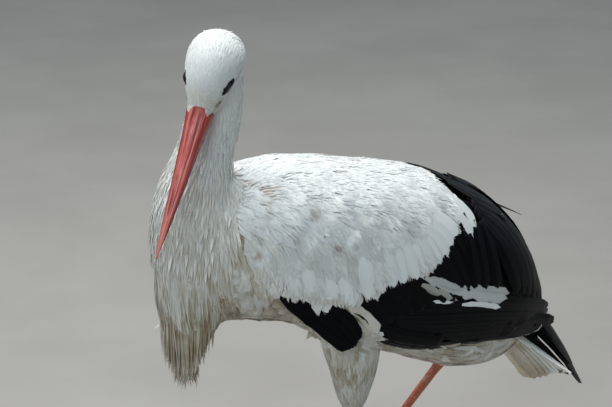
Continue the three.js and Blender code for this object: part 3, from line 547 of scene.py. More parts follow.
def is_black(p, reg, slack=0.0):
    """True on the flight-feather part of the wing."""
    yz = p[:, 1:3] + np.array([slack, -slack * 0.6])
    return (reg == WINGR) & ~inside(WHITE_EDGE, yz)


# ---------------------------------------------------------------- lie of the plumage
def lie(p, reg):
    """Direction in which the feathers point, before it is laid on the surface."""
    d = np.zeros_like(p)
    y, z = p[:, 1], p[:, 2]
    crest = table(ARCH, y)[:, 0]
    t = np.clip((crest - z) / 112, 0, 1)
    low = 12 + 10 * smoothstep(60, 170, y) + 26 * smoothstep(-60, -125, y)
    high = 80 - 14 * smoothstep(20, 150, y)
    a = np.radians(low + (high - low) * t ** 0.75)
    black = is_black(p, reg)
    # flight-feather part: along the wing's lower edge, and falling at the rear
    ab = np.radians(8 + 52 * smoothstep(120, 300, y) * smoothstep(400, 500, z))
    a = np.where(black, ab, a)
    wing = np.stack([0.10 * np.sign(p[:, 0]) * (1 - t), np.cos(a), -np.sin(a)], 1)
    ab = np.radians(74 - 44 * smoothstep(-90, 10, y) - 22 * smoothstep(60, 200, y))
    belly = np.stack([0 * y, np.cos(ab), -np.sin(ab)], 1)
    k, _ = nearest_on(NECK_PATH, p)
    tn = unit(np.gradient(NECK_PATH, axis=0))[k]
    breast = np.stack([0.16 * (p[:, 0] / 50), np.where(y < -150, -0.04, 0.05), np.full(len(p), -1.0)], 1)
    head = np.tile(-HEAD[0] - 0.25 * HEAD[2], (len(p), 1))
    hc = head_coords(p)
    back = smoothstep(-30, -62, hc[:, 0])[:, None]
    head = head * (1 - back) + np.array([-0.25, 0.1, -0.9]) * back
    tl = np.tile([0.0, 0.06, -1.0], (len(p), 1))
    tr = np.tile([0.0, 0.86, -0.50], (len(p), 1))
    for code, v in ((WINGR, wing), (BELLYR, belly), (NECKR, tn), (BREASTR, breast), (HEADR, head), (THIGHL, tl), (THIGHR, tr)):
        m = reg == code
        d[m] = v[m]
    # no sudden turns where tracts meet
    top = (reg == NECKR) & (z < 625)
    mix = smoothstep(625, 575, z)[:, None] * smoothstep(-148, -112, y)[:, None]
    d = np.where(top[:, None], unit(d) * (1 - mix) + np.array([0, 0.62, -0.78]) * mix, d)
    return unit(d)


# depth of the coat over the skin, mm
def coat_depth(p, reg):
    base = np.choose(reg, [1.4, 2.4, 3.6, 3.4, 3.4, 2.2, 2.2]).astype(float)
    hc = head_coords(p)
    base = np.where(reg == HEADR, 1.4 - 0.5 * smoothstep(-5, 26, hc[:, 0]), base)
    base = np.where(reg == NECKR, 1.6 + 1.6 * smoothstep(760, 590, p[:, 2]), base)
    base = np.where(is_black(p, reg, 5.0), 7.0, base)
    base = np.where(reg == THIGHL, 0.9 + 1.5 * smoothstep(345, 380, p[:, 2]), base)
    base = np.where(reg == THIGHR, 0.9 + 1.5 * smoothstep(146, 110, p[:, 1]), base)
    return base


# ---------------------------------------------------------------- feather makers
def scatter(surf, keep, radius, count=2.4):
    """Points spread evenly over the kept triangles, no two nearer than radius (a function of place)."""
    tri = surf.tri[keep]
    a, b, c = surf.co[tri[:, 0]], surf.co[tri[:, 1]], surf.co[tri[:, 2]]
    area = 0.5 * np.linalg.norm(np.cross(b - a, c - a), axis=1)
    cen = (a + b + c) / 3
    r = radius(cen)
    w = area / r ** 2
    n = int(w.sum() * count)
    pick = rng.choice(len(tri), size=n, p=w / w.sum())
    u, v = rng.random(n), rng.random(n)
    flip = u + v > 1
    u[flip], v[flip] = 1 - u[flip], 1 - v[flip]
    pts = a[pick] + (b[pick] - a[pick]) * u[:, None] + (c[pick] - a[pick]) * v[:, None]
    rr = r[pick]
    cell = float(rr.max())
    grid, out = {}, []
    keys = np.floor(pts / cell).astype(int)
    near = [(i, j, k) for i in (-1, 0, 1) for j in (-1, 0, 1) for k in (-1, 0, 1)]
    pl, rl, kl = pts.tolist(), (rr ** 2).tolist(), keys.tolist()
    for i in range(n):
        x, y, z = pl[i]
        kx, ky, kz = kl[i]
        ok = True
        for dx, dy, dz in near:
            for px, py, pz in grid.get((kx + dx, ky + dy, kz + dz), ()):
                if (px - x) ** 2 + (py - y) ** 2 + (pz - z) ** 2 < rl[i]:
                    ok = False
                    break
            if not ok:
                break
        if ok:
            grid.setdefault((kx, ky, kz), []).append((x, y, z))
            out.append(i)
    return pts[out]


def march(surf, roots, dirs, length, n, loose=4.5, droop=0.0):
    """Centre lines that follow the surface from the roots; where the surface falls away they go on straight."""
    N = len(roots)
    C, T, M = np.zeros((N, n, 3)), np.zeros((N, n, 3)), np.zeros((N, n, 3))
    step = (length / (n - 1))[:, None]
    q, m = surf.near(roots)
    d = unit(dirs - (dirs * m).sum(1, keepdims=True) * m)
    free = np.zeros(N, bool)
    stays = np.ones(N)
    C[:, 0], M[:, 0], T[:, 0] = q, m, d
    for i in range(1, n):
        p = q + d * step
        hit, hm = surf.near(p)
        gap = np.linalg.norm(hit - p, axis=1)
        ok = ~free & (gap < loose) & ((hm * m).sum(1) > 0.45)
        stays = np.where(ok | (stays < 1), stays, i / n)
        free = ~ok
        new = np.where(ok[:, None], hit, p)
        nm = np.where(ok[:, None], hm, m)
        nd = new - q
        nd = unit(nd)
        nd[:, 2] -= np.where(free, droop, 0)
        nd = unit(nd)
        nm = unit(nm - (nm * nd).sum(1, keepdims=True) * nd)
        q, m, d = new, nm, nd
        C[:, i], M[:, i], T[:, i] = q, m, d
    march.stays = stays
    return C, T, M


_templates = {}


def lens_template(n, m):
    """Triangles of one thin plano-convex vane: n stations along, m columns across; True where the face lies below."""
    if (n, m) in _templates:
        return _templates[(n, m)]
    top, low = [], []
    ix = lambda i, j: i * m + j
    for i in range(n - 1):
        for j in range(m - 1):
            a, b, c, d = ix(i, j), ix(i + 1, j), ix(i + 1, j + 1), ix(i, j + 1)
            top += [(a, b, c), (a, c, d)]
        a, b, c, d = ix(i, 0), ix(i, m - 1), ix(i + 1, m - 1), ix(i + 1, 0)
        low += [(a, b, c), (a, c, d)]
    for j in range(1, m - 1):
        low.append((ix(0, 0), ix(0, j), ix(0, j + 1)))
        low.append((ix(n - 1, 0), ix(n - 1, j + 1), ix(n - 1, j)))
    f = np.array(top + low)
    flat = np.array([False] * len(top) + [True] * len(low))
    _templates[(n, m)] = (f, flat)
    return f, flat


def shell_template(n, m):
    """A vane with an upper and a lower face of its own and a wall round its edge."""
    if ("s", n, m) in _templates:
        return _templates[("s", n, m)]
    f, flat = [], []
    ix = lambda i, j: i * m + j
    k = n * m
    for i in range(n - 1):
        for j in range(m - 1):
            a, b, c, d = ix(i, j), ix(i + 1, j), ix(i + 1, j + 1), ix(i, j + 1)
            f += [(a, b, c), (a, c, d), (k + a, k + c, k + b), (k + a, k + d, k + c)]
            flat += [False] * 4
    loop = [ix(0, j) for j in range(m)] + [ix(i, m - 1) for i in range(1, n)] + [ix(n - 1, j) for j in range(m - 2, -1, -1)] + [ix(i, 0) for i in range(n - 2, 0, -1)]
    for a, b in zip(loop, loop[1:] + loop[:1]):
        f += [(a, b, k + b), (a, k + b, k + a)]
        flat += [True] * 2
    _templates[("s", n, m)] = (np.array(f), np.array(flat))
    return _templates[("s", n, m)]


class Coat:
    """Gathers feathers of one name and writes them as joined meshes of less than 190,000 triangles."""

    def __init__(self, name, mat, slot, replaces=(), relief=1.0):
        self.name, self.mat, self.slot, self.replaces, self.relief = name, mat, slot, replaces, relief
        self.v, self.f, self.flat, self.fea, self.tint, self.uv, self.nrm = [], [], [], [], [], [], []

    def add(self, P, tmpl, fea, tint, uv, nrm=None):
        """P (N, k, 3); fea (N, k, 3); tint (N, 3); uv (N, k, 2)."""
        f, flat = tmpl
        N, k, _ = P.shape
        per = max(1, 185000 // len(f))
        for s in range(0, N, per):
            e = min(N, s + per)
            cnt = e - s
            off = (np.arange(cnt) * k)[:, None, None]
            self.v.append(P[s:e].reshape(-1, 3))
            self.f.append((f[None] + off).reshape(-1, 3))
            self.flat.append(np.tile(flat, cnt))
            self.fea.append(fea[s:e].reshape(-1, 3))
            self.tint.append(np.repeat(tint[s:e], k, axis=0))
            self.uv.append(uv[s:e].reshape(-1, 2))
            self.nrm.append(None if nrm is None else nrm[s:e].reshape(-1, 3))

    def write(self):
        objs, cur, total = [], [], 0
        groups = []
        for i, f in enumerate(self.f):
            if total + len(f) > 190000 and cur:
                groups.append(cur)
                cur, total = [], 0
            cur.append(i)
            total += len(f)
        if cur:
            groups.append(cur)
        count = 0
        for g, ids in enumerate(groups):
            v, f = joined([(self.v[i], self.f[i]) for i in ids])
            name = self.name if len(groups) == 1 else f"{self.name}_{g + 1}"
            ob = new_object(name, v, f, self.mat, flat_faces=np.concatenate([self.flat[i] for i in ids]),
                            attrs={"fea": np.concatenate([self.fea[i] for i in ids]), "tint": np.concatenate([self.tint[i] for i in ids])},
                            uv=np.concatenate([self.uv[i] for i in ids]),
                            normals=None if any(self.nrm[i] is None for i in ids) else np.concatenate([self.nrm[i] for i in ids]))
            if self.replaces:
                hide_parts(*self.replaces)
            objs.append(ob)
            count += len(f)
        print(f"{self.name}: {count} triangles in {len(groups)}")
        return objs


def tuft_uv(root_uv, a, s):
    """A patch about 0.003 across at the root's place."""
    N, n, m = len(root_uv), len(s), len(a)
    g = np.zeros((N, n, m, 2))
    g[..., 0] = root_uv[:, None, None, 0] + 0.0015 * a[None, None, :]
    g[..., 1] = root_uv[:, None, None, 1] + 0.003 * (s[None, :, None] - 0.5)
    return g.reshape(N, n * m, 2)


def columns(m):
    return np.array({3: [-1, 0, 1], 5: [-1, -0.5, 0, 0.5, 1], 7: [-1, -0.7, -0.35, 0, 0.35, 0.7, 1]}[m], float)


def lens_feathers(coat, C, T, M, L, W, profile, thick, lift, m, root_uv, tint, jag=0.05, roll=0.0, droop_edge=0.0, tip_round=0.35, tip_power=2.0):
    """Vanes on centre lines C with normals M. W: half width (N,), profile(s): share of it; lift(s): (N, n) height over C."""
    N, n, _ = C.shape
    s = np.linspace(0, 1, n)
    a = columns(m)
    B = np.cross(M, T)
    rnd = rng.random(N)
    if roll:
        r = rng.normal(0, roll, N)[:, None, None] * s[None, :, None]
        B2 = B * np.cos(r) + M * np.sin(r)
        M = M * np.cos(r) - B * np.sin(r)
        B = B2
    w = W[:, None] * profile(s)[None]
    ends = -tip_round * np.abs(a) ** tip_power
    ends = ends[None] + rng.normal(0, jag, (N, m)) * (np.abs(a) < 2)
    along = (s ** 2)[None, :, None] * ends[:, None, :] * (W * 1.4)[:, None, None] if tip_round > 1 else (s ** 2)[None, :, None] * ends[:, None, :] * L[:, None, None]
    bend = 0.02 * rng.normal(0, 1, N)[:, None, None] * L[:, None, None] * (s ** 2)[None, :, None]
    P = (C[:, :, None, :] + B[:, :, None, :] * (w[:, :, None] * a + bend)[..., None]
         + M[:, :, None, :] * ((thick[:, None] * profile(s)[None])[:, :, None] * (1 - a ** 2) - droop_edge * (w[:, :, None] * a) ** 2 + lift[:, :, None])[..., None]
         + T[:, :, None, :] * along[..., None])
    cell = np.cross(P[:, 1:, :-1] - P[:, :-1, :-1], P[:, :-1, 1:] - P[:, :-1, :-1])
    cell = cell / np.maximum(np.linalg.norm(cell, axis=3, keepdims=True), 1e-9)
    lean = (cell * M[:, :-1, None, :]).sum(3)
    lean = lean * np.sign(np.median(lean))
    good = (lean.reshape(N, -1).min(1) > -0.10) if coat.relief > 0 else np.ones(N, bool)
    C, T, M, B, P, w, L, W, rnd, root_uv, tint, along = C[good], T[good], M[good], B[good], P[good], w[good], L[good], W[good], rnd[good], root_uv[good], tint[good], along[good]
    N = len(C)
    fea = np.zeros((N, n, m, 3))
    fea[..., 0] = w[:, :, None] * a
    fea[..., 1] = L[:, None, None] * s[None, :, None] + along
    fea[..., 2] = rnd[:, None, None]
    # soft vanes shade with the body beneath them
    relief = (0.20 * waves(C.reshape(-1, 3), 44, 7) + 0.17 * waves(C.reshape(-1, 3), 17, 8)).reshape(C.shape) * coat.relief
    soft = unit((M + relief)[:, :, None, :] + B[:, :, None, :] * (0.26 * a)[None, None, :, None] + T[:, :, None, :] * (0.16 * s - 0.04)[None, :, None, None])
    coat.add(P.reshape(N, n * m, 3), lens_template(n, m), fea.reshape(N, n * m, 3), tint, tuft_uv(root_uv, a, s), soft.reshape(N, n * m, 3))



# ---------------------------------------------------------------- materials
class Graph:
    """A small helper round one material's node tree."""

    def __init__(self, name):
        self.mat = bpy.data.materials.new(name)
        self.mat.use_nodes = True
        self.nt = self.mat.node_tree
        self.nt.nodes.clear()
        self.out = self.nt.nodes.new("ShaderNodeOutputMaterial")
        self.bsdf = self.nt.nodes.new("ShaderNodeBsdfPrincipled")
        self.nt.links.new(self.bsdf.outputs[0], self.out.inputs[0])

    def put(self, socket, value):
        if hasattr(value, "is_output") or hasattr(value, "links"):
            self.nt.links.new(value, socket)
        else:
            socket.default_value = value

    def node(self, kind, **props):
        n = self.nt.nodes.new(kind)
        for k, v in props.items():
            setattr(n, k, v)
        return n

    def math(self, op, a, b=None, c=None, clamp=False):
        n = self.node("ShaderNodeMath", operation=op, use_clamp=clamp)
        for i, v in enumerate((a, b, c)):
            if v is not None:
                self.put(n.inputs[i], v)
        return n.outputs[0]

    def vmath(self, op, a, b=None, out=0):
        n = self.node("ShaderNodeVectorMath", operation=op)
        self.put(n.inputs[0], a)
        if b is not None:
            self.put(n.inputs[1], b)
        return n.outputs[out]

    def ramp(self, value, lo, hi, a=0.0, b=1.0):
        n = self.node("ShaderNodeMapRange", interpolation_type="SMOOTHSTEP")
        for i, v in enumerate((value, lo, hi, a, b)):
            self.put(n.inputs[i], v)
        return n.outputs[0]

    def mix(self, fac, a, b, blend="MIX"):
        n = self.node("ShaderNodeMix", data_type="RGBA", blend_type=blend)
        self.put(n.inputs[0], fac)
        for i, v in ((6, a), (7, b)):
            self.put(n.inputs[i], v if hasattr(v, "links") else (*v, 1.0))
        return n.outputs[2]

    def noise(self, vector, scale, detail=3.0, rough=0.55):
        n = self.node("ShaderNodeTexNoise")
        self.put(n.inputs["Vector"], vector)
        n.inputs["Scale"].default_value = scale
        n.inputs["Detail"].default_value = detail
        n.inputs["Roughness"].default_value = rough
        return n.outputs[0]

    def attribute(self, name):
        n = self.node("ShaderNodeAttribute", attribute_name=name)
        s = self.node("ShaderNodeSeparateXYZ")
        self.nt.links.new(n.outputs["Vector"], s.inputs[0])
        return s.outputs[0], s.outputs[1], s.outputs[2]

    def place(self):
        return self.node("ShaderNodeTexCoord").outputs["Object"]

    def combine(self, x, y, z):
        n = self.node("ShaderNodeCombineXYZ")
        for i, v in enumerate((x, y, z)):
            self.put(n.inputs[i], v)
        return n.outputs[0]

    def bump(self, height, strength, distance, below=None):
        n = self.node("ShaderNodeBump")
        n.inputs["Strength"].default_value = strength
        n.inputs["Distance"].default_value = distance
        self.nt.links.new(height, n.inputs["Height"])
        if below is not None:
            self.nt.links.new(below, n.inputs["Normal"])
        return n.outputs[0]

    def set(self, **inputs):
        for k, v in inputs.items():
            self.put(self.bsdf.inputs[k.replace("_", " ")], v)
        return self.mat


# soiled spots on the plumage: place (mm), radius, strength, reddish or brown
SPOTS = [((13, -98, 628), 9, 0.55, 1), ((53, -78, 622), 15, 0.42, 1), ((30, -92, 626), 10, 0.35, 1), ((64, -86, 609), 9, 0.45, 0),
         ((71, -90, 597), 8, 0.45, 0), ((84, -37, 594), 11, 0.62, 0), ((97, -15, 555), 8, 0.85, 0), ((98, 8, 555), 9, 0.6, 0),
         ((75, -105, 571), 8, 0.5, 0), ((77, -106, 557), 9, 0.7, 0), ((86, -60, 572), 14, 0.35, 0), ((92, 30, 540), 16, 0.3, 0),
         ((-66, -84, 604), 12, 0.4, 0), ((-90, -20, 570), 14, 0.4, 0), ((-96, 44, 548), 12, 0.35, 0)]


def plumage(name, kind):
    """Feather finish; kind is white, black or both (both reads the marking from the skin)."""
    g = Graph(name)
    warm, value, dark = g.attribute("tint")
    across, along, rnd = g.attribute("fea")
    at = g.place()
    broad = g.noise(at, 26.0, 3.0)
    fine = g.noise(at, 150.0, 3.0)
    side = g.math("ABSOLUTE", across)
    # streaks run along each vane
    sv = g.combine(g.math("MULTIPLY", across, 0.9), g.math("MULTIPLY", along, 0.05), g.math("MULTIPLY", rnd, 40.0))
    streak = g.noise(sv, 1.0, 2.0)
    w = g.math("MULTIPLY", warm, g.math("MULTIPLY_ADD", broad, 1.4, 0.25))
    w = g.math("ADD", w, g.math("MULTIPLY", g.math("SUBTRACT", streak, 0.5), g.math("MULTIPLY_ADD", warm, 0.9, 0.06)), clamp=True)
    ramp = g.node("ShaderNodeValToRGB")
    ramp.color_ramp.elements[0].position = 0.0
    ramp.color_ramp.elements[0].color = (0.86, 0.875, 0.87, 1)
    ramp.color_ramp.elements[1].position = 1.0
    ramp.color_ramp.elements[1].color = (0.26, 0.185, 0.115, 1)
    for pos, col in ((0.35, (0.73, 0.70, 0.62, 1)), (0.68, (0.47, 0.40, 0.295, 1))):
        e = ramp.color_ramp.elements.new(pos)
        e.color = col
    g.put(ramp.inputs[0], w)
    colour = ramp.outputs[0]
    if kind != "black":
        for (x, y, z), r, strength, red in SPOTS:
            c = metres((x, y, z))
            d = g.vmath("DISTANCE", at, tuple(c), out=1)
            d = g.math("ADD", d, g.math("MULTIPLY", g.math("SUBTRACT", fine, 0.5), r / 1000 * 1.6))
            m = g.math("MULTIPLY", g.ramp(d, r / 1000 * 0.95, r / 1000 * 0.25), g.math("MULTIPLY_ADD", streak, 1.4, -0.1))
            m = g.math("MULTIPLY", m, strength, clamp=True)
            colour = g.mix(m, colour, (0.42, 0.13, 0.085) if red else (0.30, 0.185, 0.105))
    # a fine soft grain, times value, which also carries painted shade on some feathers; and the quill line, a painted
    # highlight on the black vanes
    shade = g.math("MULTIPLY_ADD", g.math("SUBTRACT", streak, 0.5), 0.16, 1.0)
    shade = g.math("MULTIPLY", shade, value)
    colour = g.mix(1.0, colour, g.combine(shade, shade, shade), blend="MULTIPLY")
    quill = g.ramp(side, 0.35, 0.75, 1.0, 0.0)
    # painted sheen: lighter bluish streaks along each black vane
    black = g.mix(g.math("MULTIPLY", streak, 0.8), (0.0009, 0.0012, 0.0019), (0.0024, 0.0028, 0.0040))
    # painted sheen: brownish where warm is high, strongest on the rear tertials
    black = g.mix(g.math("MULTIPLY", warm, g.ramp(broad, 0.40, 0.62), clamp=True), black, (0.0050, 0.0040, 0.0036))
    black = g.mix(1.0, black, g.combine(value, value, value), blend="MULTIPLY")
    if kind == "black":
        # painted highlight: a lighter bluish quill line down each black vane
        colour = g.mix(g.math("MULTIPLY", quill, 0.30), black, (0.008, 0.009, 0.012))
    else:
        colour = g.mix(dark, colour, black)
    # barbs: fine ridges slanting from the quill to the edge
    barb = g.math("SINE", g.math("MULTIPLY", g.math("MULTIPLY_ADD", side, -0.9, along), 2 * math.pi / 1.25))
    rough = g.noise(g.combine(g.math("MULTIPLY", across, 1.1), g.math("MULTIPLY", along, 0.16), g.math("MULTIPLY", rnd, 31.0)), 1.0, 4.0, 0.6)
    height = g.math("ADD", g.math("MULTIPLY", barb, 0.16), rough)
    normal = g.bump(height, 0.30 if kind != "black" else 0.25, 0.0007)
    g.set(Base_Color=colour, Normal=normal)
    g.bsdf.inputs["Specular IOR Level"].default_value = {"white": 0.22, "both": 0.12, "black": 0.06}[kind]
    if kind == "both":
        g.set(Roughness=g.math("MULTIPLY_ADD", dark, -0.34, 0.80))
    else:
        g.bsdf.inputs["Roughness"].default_value = 0.80 if kind == "white" else 0.36
    g.bsdf.inputs["Sheen Weight"].default_value = 0.20 if kind == "white" else 0.0
    g.bsdf.inputs["Sheen Roughness"].default_value = 0.5
    if kind != "black":
        g.bsdf.inputs["Subsurface Weight"].default_value = 0.35
        g.bsdf.inputs["Subsurface Radius"].default_value = (1.0, 0.95, 0.85)
        g.bsdf.inputs["Subsurface Scale"].default_value = 0.0022
    return g.mat


def bill_material():
    g = Graph("bill_red")
    up, t, sidev = g.attribute("horn")          # 0 at the cutting edge to 1 at the ridge; 0..1 along; side
    at = g.place()
    long_ = g.noise(g.combine(g.math("MULTIPLY", up, 14.0), g.math("MULTIPLY", t, 3.2), sidev), 1.0, 4.0)
    spot = g.noise(at, 260.0, 4.0, 0.7)
    base = g.mix(g.ramp(long_, 0.38, 0.62), (0.155, 0.010, 0.008), (0.40, 0.040, 0.028))
    ridge = g.ramp(up, 0.52, 0.95)
    # painted highlight: a paler pink streak along the culmen ridge
    base = g.mix(g.math("MULTIPLY", ridge, g.ramp(g.noise(g.combine(g.math("MULTIPLY", up, 22.0), g.math("MULTIPLY", t, 5.0), sidev), 1.0, 3.0), 0.40, 0.62, 0.0, 0.75)), base, (0.62, 0.20, 0.17))
    # paler tip, darker staining towards the cutting edges, darkest on them
    base = g.mix(g.ramp(t, 0.80, 1.0, 0.0, 0.45), base, (0.56, 0.17, 0.12))
    stain = g.math("MULTIPLY", g.ramp(spot, 0.52, 0.72), g.ramp(up, 0.55, 0.0, 0.0, 0.75))
    base = g.mix(stain, base, (0.10, 0.022, 0.017))
    edge = g.ramp(up, 0.10, 0.0, 0.0, 0.65)
    base = g.mix(edge, base, (0.075, 0.012, 0.010))
    scratch = g.noise(g.combine(g.math("MULTIPLY", up, 40.0), g.math("MULTIPLY", t, 7.0), sidev), 1.0, 3.0)
    height = g.math("ADD", g.math("MULTIPLY", long_, 0.7), g.math("MULTIPLY", scratch, 0.5))
    height = g.math("ADD", height, g.math("MULTIPLY", spot, 0.25))
    g.set(Base_Color=base, Normal=g.bump(height, 0.5, 0.0006), Roughness=g.math("MULTIPLY_ADD", scratch, 0.22, 0.27))
    g.bsdf.inputs["Specular IOR Level"].default_value = 0.5
    g.bsdf.inputs["Subsurface Weight"].default_value = 0.0
    return g.mat


def leg_material():
    g = Graph("leg_skin")
    around, along, kindv = g.attribute("horn")     # mm round the leg, mm along it, 0 leg or 1 toe
    at = g.place()
    cell = g.node("ShaderNodeTexVoronoi", feature="DISTANCE_TO_EDGE")
    g.put(cell.inputs["Vector"], g.combine(g.math("MULTIPLY", around, 0.24), g.math("MULTIPLY", along, 0.27), kindv))
    cell.inputs["Scale"].default_value = 1.0
    cell.inputs["Randomness"].default_value = 0.55
    seam = g.ramp(cell.outputs["Distance"], 0.02, 0.16)
    one = g.node("ShaderNodeTexVoronoi", feature="F1")
    g.put(one.inputs["Vector"], g.combine(g.math("MULTIPLY", around, 0.24), g.math("MULTIPLY", along, 0.27), kindv))
    one.inputs["Scale"].default_value = 1.0
    one.inputs["Randomness"].default_value = 0.55
    blot = g.noise(at, 60.0, 4.0)
    fine = g.noise(at, 700.0, 3.0)
    base = g.mix(g.ramp(blot, 0.36, 0.66), (0.42, 0.085, 0.035), (0.55, 0.145, 0.065))
    sep = g.node("ShaderNodeSeparateColor")
    g.put(sep.inputs[0], one.outputs["Color"])
    base = g.mix(g.math("MULTIPLY", sep.outputs[0], 0.22), base, (0.66, 0.30, 0.17))
    base = g.mix(g.ramp(cell.outputs["Distance"], 0.10, 0.015, 0.0, 0.60), base, (0.20, 0.035, 0.02))
    dust = g.math("MULTIPLY", g.ramp(g.noise(at, 34.0, 4.0, 0.65), 0.55, 0.74), 0.38)
    base = g.mix(dust, base, (0.58, 0.44, 0.34))
    height = g.math("ADD", g.math("MULTIPLY", seam, 1.0), g.math("MULTIPLY", fine, 0.25))
    g.set(Base_Color=base, Normal=g.bump(height, 0.75, 0.0007), Roughness=g.math("MULTIPLY_ADD", blot, 0.25, 0.38))
    return g.mat


def claw_material():
    g = Graph("claw_horn")
    at = g.place()
    n = g.noise(at, 320.0, 4.0)
    b = g.noise(at, 90.0, 2.0)
    base = g.mix(g.ramp(n, 0.35, 0.7), (0.030, 0.018, 0.014), (0.11, 0.065, 0.045))
    base = g.mix(g.math("MULTIPLY", b, 0.3), base, (0.20, 0.085, 0.055))
    g.set(Base_Color=base, Normal=g.bump(n, 0.35, 0.0004), Roughness=g.math("MULTIPLY_ADD", b, 0.2, 0.32))
    return g.mat


def eye_material():
    g = Graph("eye_dark")
    d, a, _ = g.attribute("horn")                # mm from the optical axis, angle
    fibre = g.noise(g.combine(g.math("MULTIPLY", a, 9.0), g.math("MULTIPLY", d, 0.6), 0.0), 1.0, 3.0)
    iris = g.mix(fibre, (0.030, 0.018, 0.012), (0.085, 0.050, 0.032))
    base = g.mix(g.ramp(d, 2.35, 2.65), (0.0015, 0.0015, 0.0018), iris)
    base = g.mix(g.ramp(d, 4.9, 5.5), base, (0.012, 0.010, 0.010))
    g.set(Base_Color=base)
    g.bsdf.inputs["Roughness"].default_value = 0.20
    g.bsdf.inputs["Coat Weight"].default_value = 0.30
    g.bsdf.inputs["Specular IOR Level"].default_value = 0.30
    g.bsdf.inputs["Coat Roughness"].default_value = 0.02
    g.bsdf.inputs["Coat IOR"].default_value = 1.38
    return g.mat


def lid_material():
    g = Graph("eye_skin")
    rim, low, _ = g.attribute("horn")            # 1 on the lid's margin, 1 on the lower lid
    at = g.place()
    n = g.noise(at, 800.0, 4.0, 0.6)
    m = g.noise(at, 240.0, 3.0)
    base = g.mix(n, (0.0030, 0.0028, 0.0034), (0.0105, 0.0090, 0.0098))
    red = g.math("MULTIPLY", g.math("MULTIPLY", rim, low), g.ramp(m, 0.35, 0.6), clamp=True)
    base = g.mix(red, base, (0.085, 0.024, 0.018))
    g.set(Base_Color=base, Normal=g.bump(g.math("ADD", n, m), 0.6, 0.0005), Roughness=g.math("MULTIPLY_ADD", n, 0.3, 0.42))
    g.bsdf.inputs["Specular IOR Level"].default_value = 0.10
    return g.mat


def floor_material():
    g = Graph("floor_pale")
    at = g.place()
    n = g.noise(at, 3.0, 4.0)
    f = g.noise(at, 160.0, 3.0)
    base = g.mix(g.ramp(n, 0.3, 0.7), (0.300, 0.282, 0.262), (0.335, 0.315, 0.292))
    base = g.mix(g.math("MULTIPLY", f, 0.10), base, (0.26, 0.245, 0.225))
    g.set(Base_Color=base)
    g.bsdf.inputs["Roughness"].default_value = 0.85
    g.bsdf.inputs["Specular IOR Level"].default_value = 0.2
    return g.mat


WHITE = plumage("white_feathers", "white")
BLACK = plumage("black_feathers", "black")
SKIN = plumage("plumage_skin", "both")
BILL, LEG, CLAW, EYE, LID, GROUND = bill_material(), leg_material(), claw_material(), eye_material(), lid_material(), floor_material()


# ---------------------------------------------------------------- markings and painted shade, shared by skin and coat
def waves(p, size, seed, count=7):
    r = np.random.default_rng(seed)
    out = np.zeros((len(p), 3))
    for _ in range(count):
        k = unit(r.normal(size=3)) * 2 * np.pi / (size * r.uniform(0.6, 1.7))
        out += np.sin(p @ k + r.uniform(0, 2 * np.pi))[:, None] * unit(r.normal(size=3))
    return out / math.sqrt(count)


def markings_and_painted_shade(p, reg):
    """tint: how warm, how light, how black. Warmth is partly stains and partly painted shade on the belly and thighs,
    with a painted brownish sheen on the black at the rear.
    """
    y, z = p[:, 1], p[:, 2]
    warm = np.full(len(p), 0.10)
    n = waves(p, 46, 5)[:, 0]
    front = smoothstep(-60, -120, y)
    warm = np.where(reg == HEADR, 0.08 + 0.20 * smoothstep(2, 26, head_coords(p)[:, 0]), warm)
    warm = np.where(reg == NECKR, 0.16 + 0.22 * smoothstep(700, 590, z), warm)
    warm = np.where(reg == BREASTR, 0.44 + 0.52 * smoothstep(560, 450, z) + 0.16 * n, warm)
    warm = np.where(reg == WINGR, 0.07 + 0.17 * smoothstep(600, 500, z) + 0.14 * front * smoothstep(620, 560, z) + 0.09 * n, warm)
    # the warm beige of the belly and thighs is partly painted shade
    warm = np.where(reg == BELLYR, 0.52 + 0.14 * n, warm)
    warm = np.where((reg == THIGHL) | (reg == THIGHR), 0.52 + 0.12 * n, warm)
    black = is_black(p, reg)
    # painted sheen: the black turns brownish towards the rear tertials
    warm = np.where(black, 0.35 + 0.5 * smoothstep(210, 320, y), warm)
    value = np.ones(len(p))
    return np.stack([np.clip(warm, 0, 1.2), value, black.astype(float)], 1)


# ---------------------------------------------------------------- skin
co, tri, quads = body_surface()
body = Surface(co, tri)
reg_v = region(co)
depth = coat_depth(co, reg_v)
e = edge_pairs(tri)
for _ in range(8):
    s = np.bincount(e[:, 0], depth[e[:, 1]], len(co)) + np.bincount(e[:, 1], depth[e[:, 0]], len(co))
    depth = 0.5 * depth + 0.5 * s / np.bincount(e.ravel(), minlength=len(co))
skin_co = co - body.n * depth[:, None]
fc = skin_co[quads].mean(1)
freg = region(co[quads].mean(1))
ref = unwrap_angle(fc, freg)
corner = skin_co[quads.ravel()]
skin_uv = unwrap(corner, np.repeat(freg, 4), np.repeat(ref, 4))
skin_fea = np.stack([co[:, 0] * 0.2, co[:, 2] * 0.5, np.zeros(len(co))], 1)
# the sockets: the skin gives way to the eyeballs and their lids
sock_h = head_coords(skin_co)
sock_e = np.sqrt(((sock_h[:, 0] - 0.1) / 11.5) ** 2 + ((sock_h[:, 2] - 5.6 - 0.10 * sock_h[:, 0]) / 6.0) ** 2)
sock = 4.5 * smoothstep(1.0, 0.6, sock_e) * (np.abs(sock_h[:, 1]) > 12) * (reg_v == HEADR)
skin_co = skin_co - (np.sign(sock_h[:, 1]) * sock)[:, None] * HEAD[1]
skin = new_object("stork_skin", skin_co, quads, SKIN, attrs={"tint": markings_and_painted_shade(co, reg_v), "fea": skin_fea}, uv=skin_uv)
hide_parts("head", "neck", "breast_plumes", "trunk", "thigh_left", "thigh_right",
            "wing_left_coverts", "wing_right_coverts", "wing_left_flight", "wing_right_flight")
face_mid = co[tri].mean(1)
face_reg = region(face_mid)
face_h = head_coords(face_mid)
print("skin", len(quads) * 2)


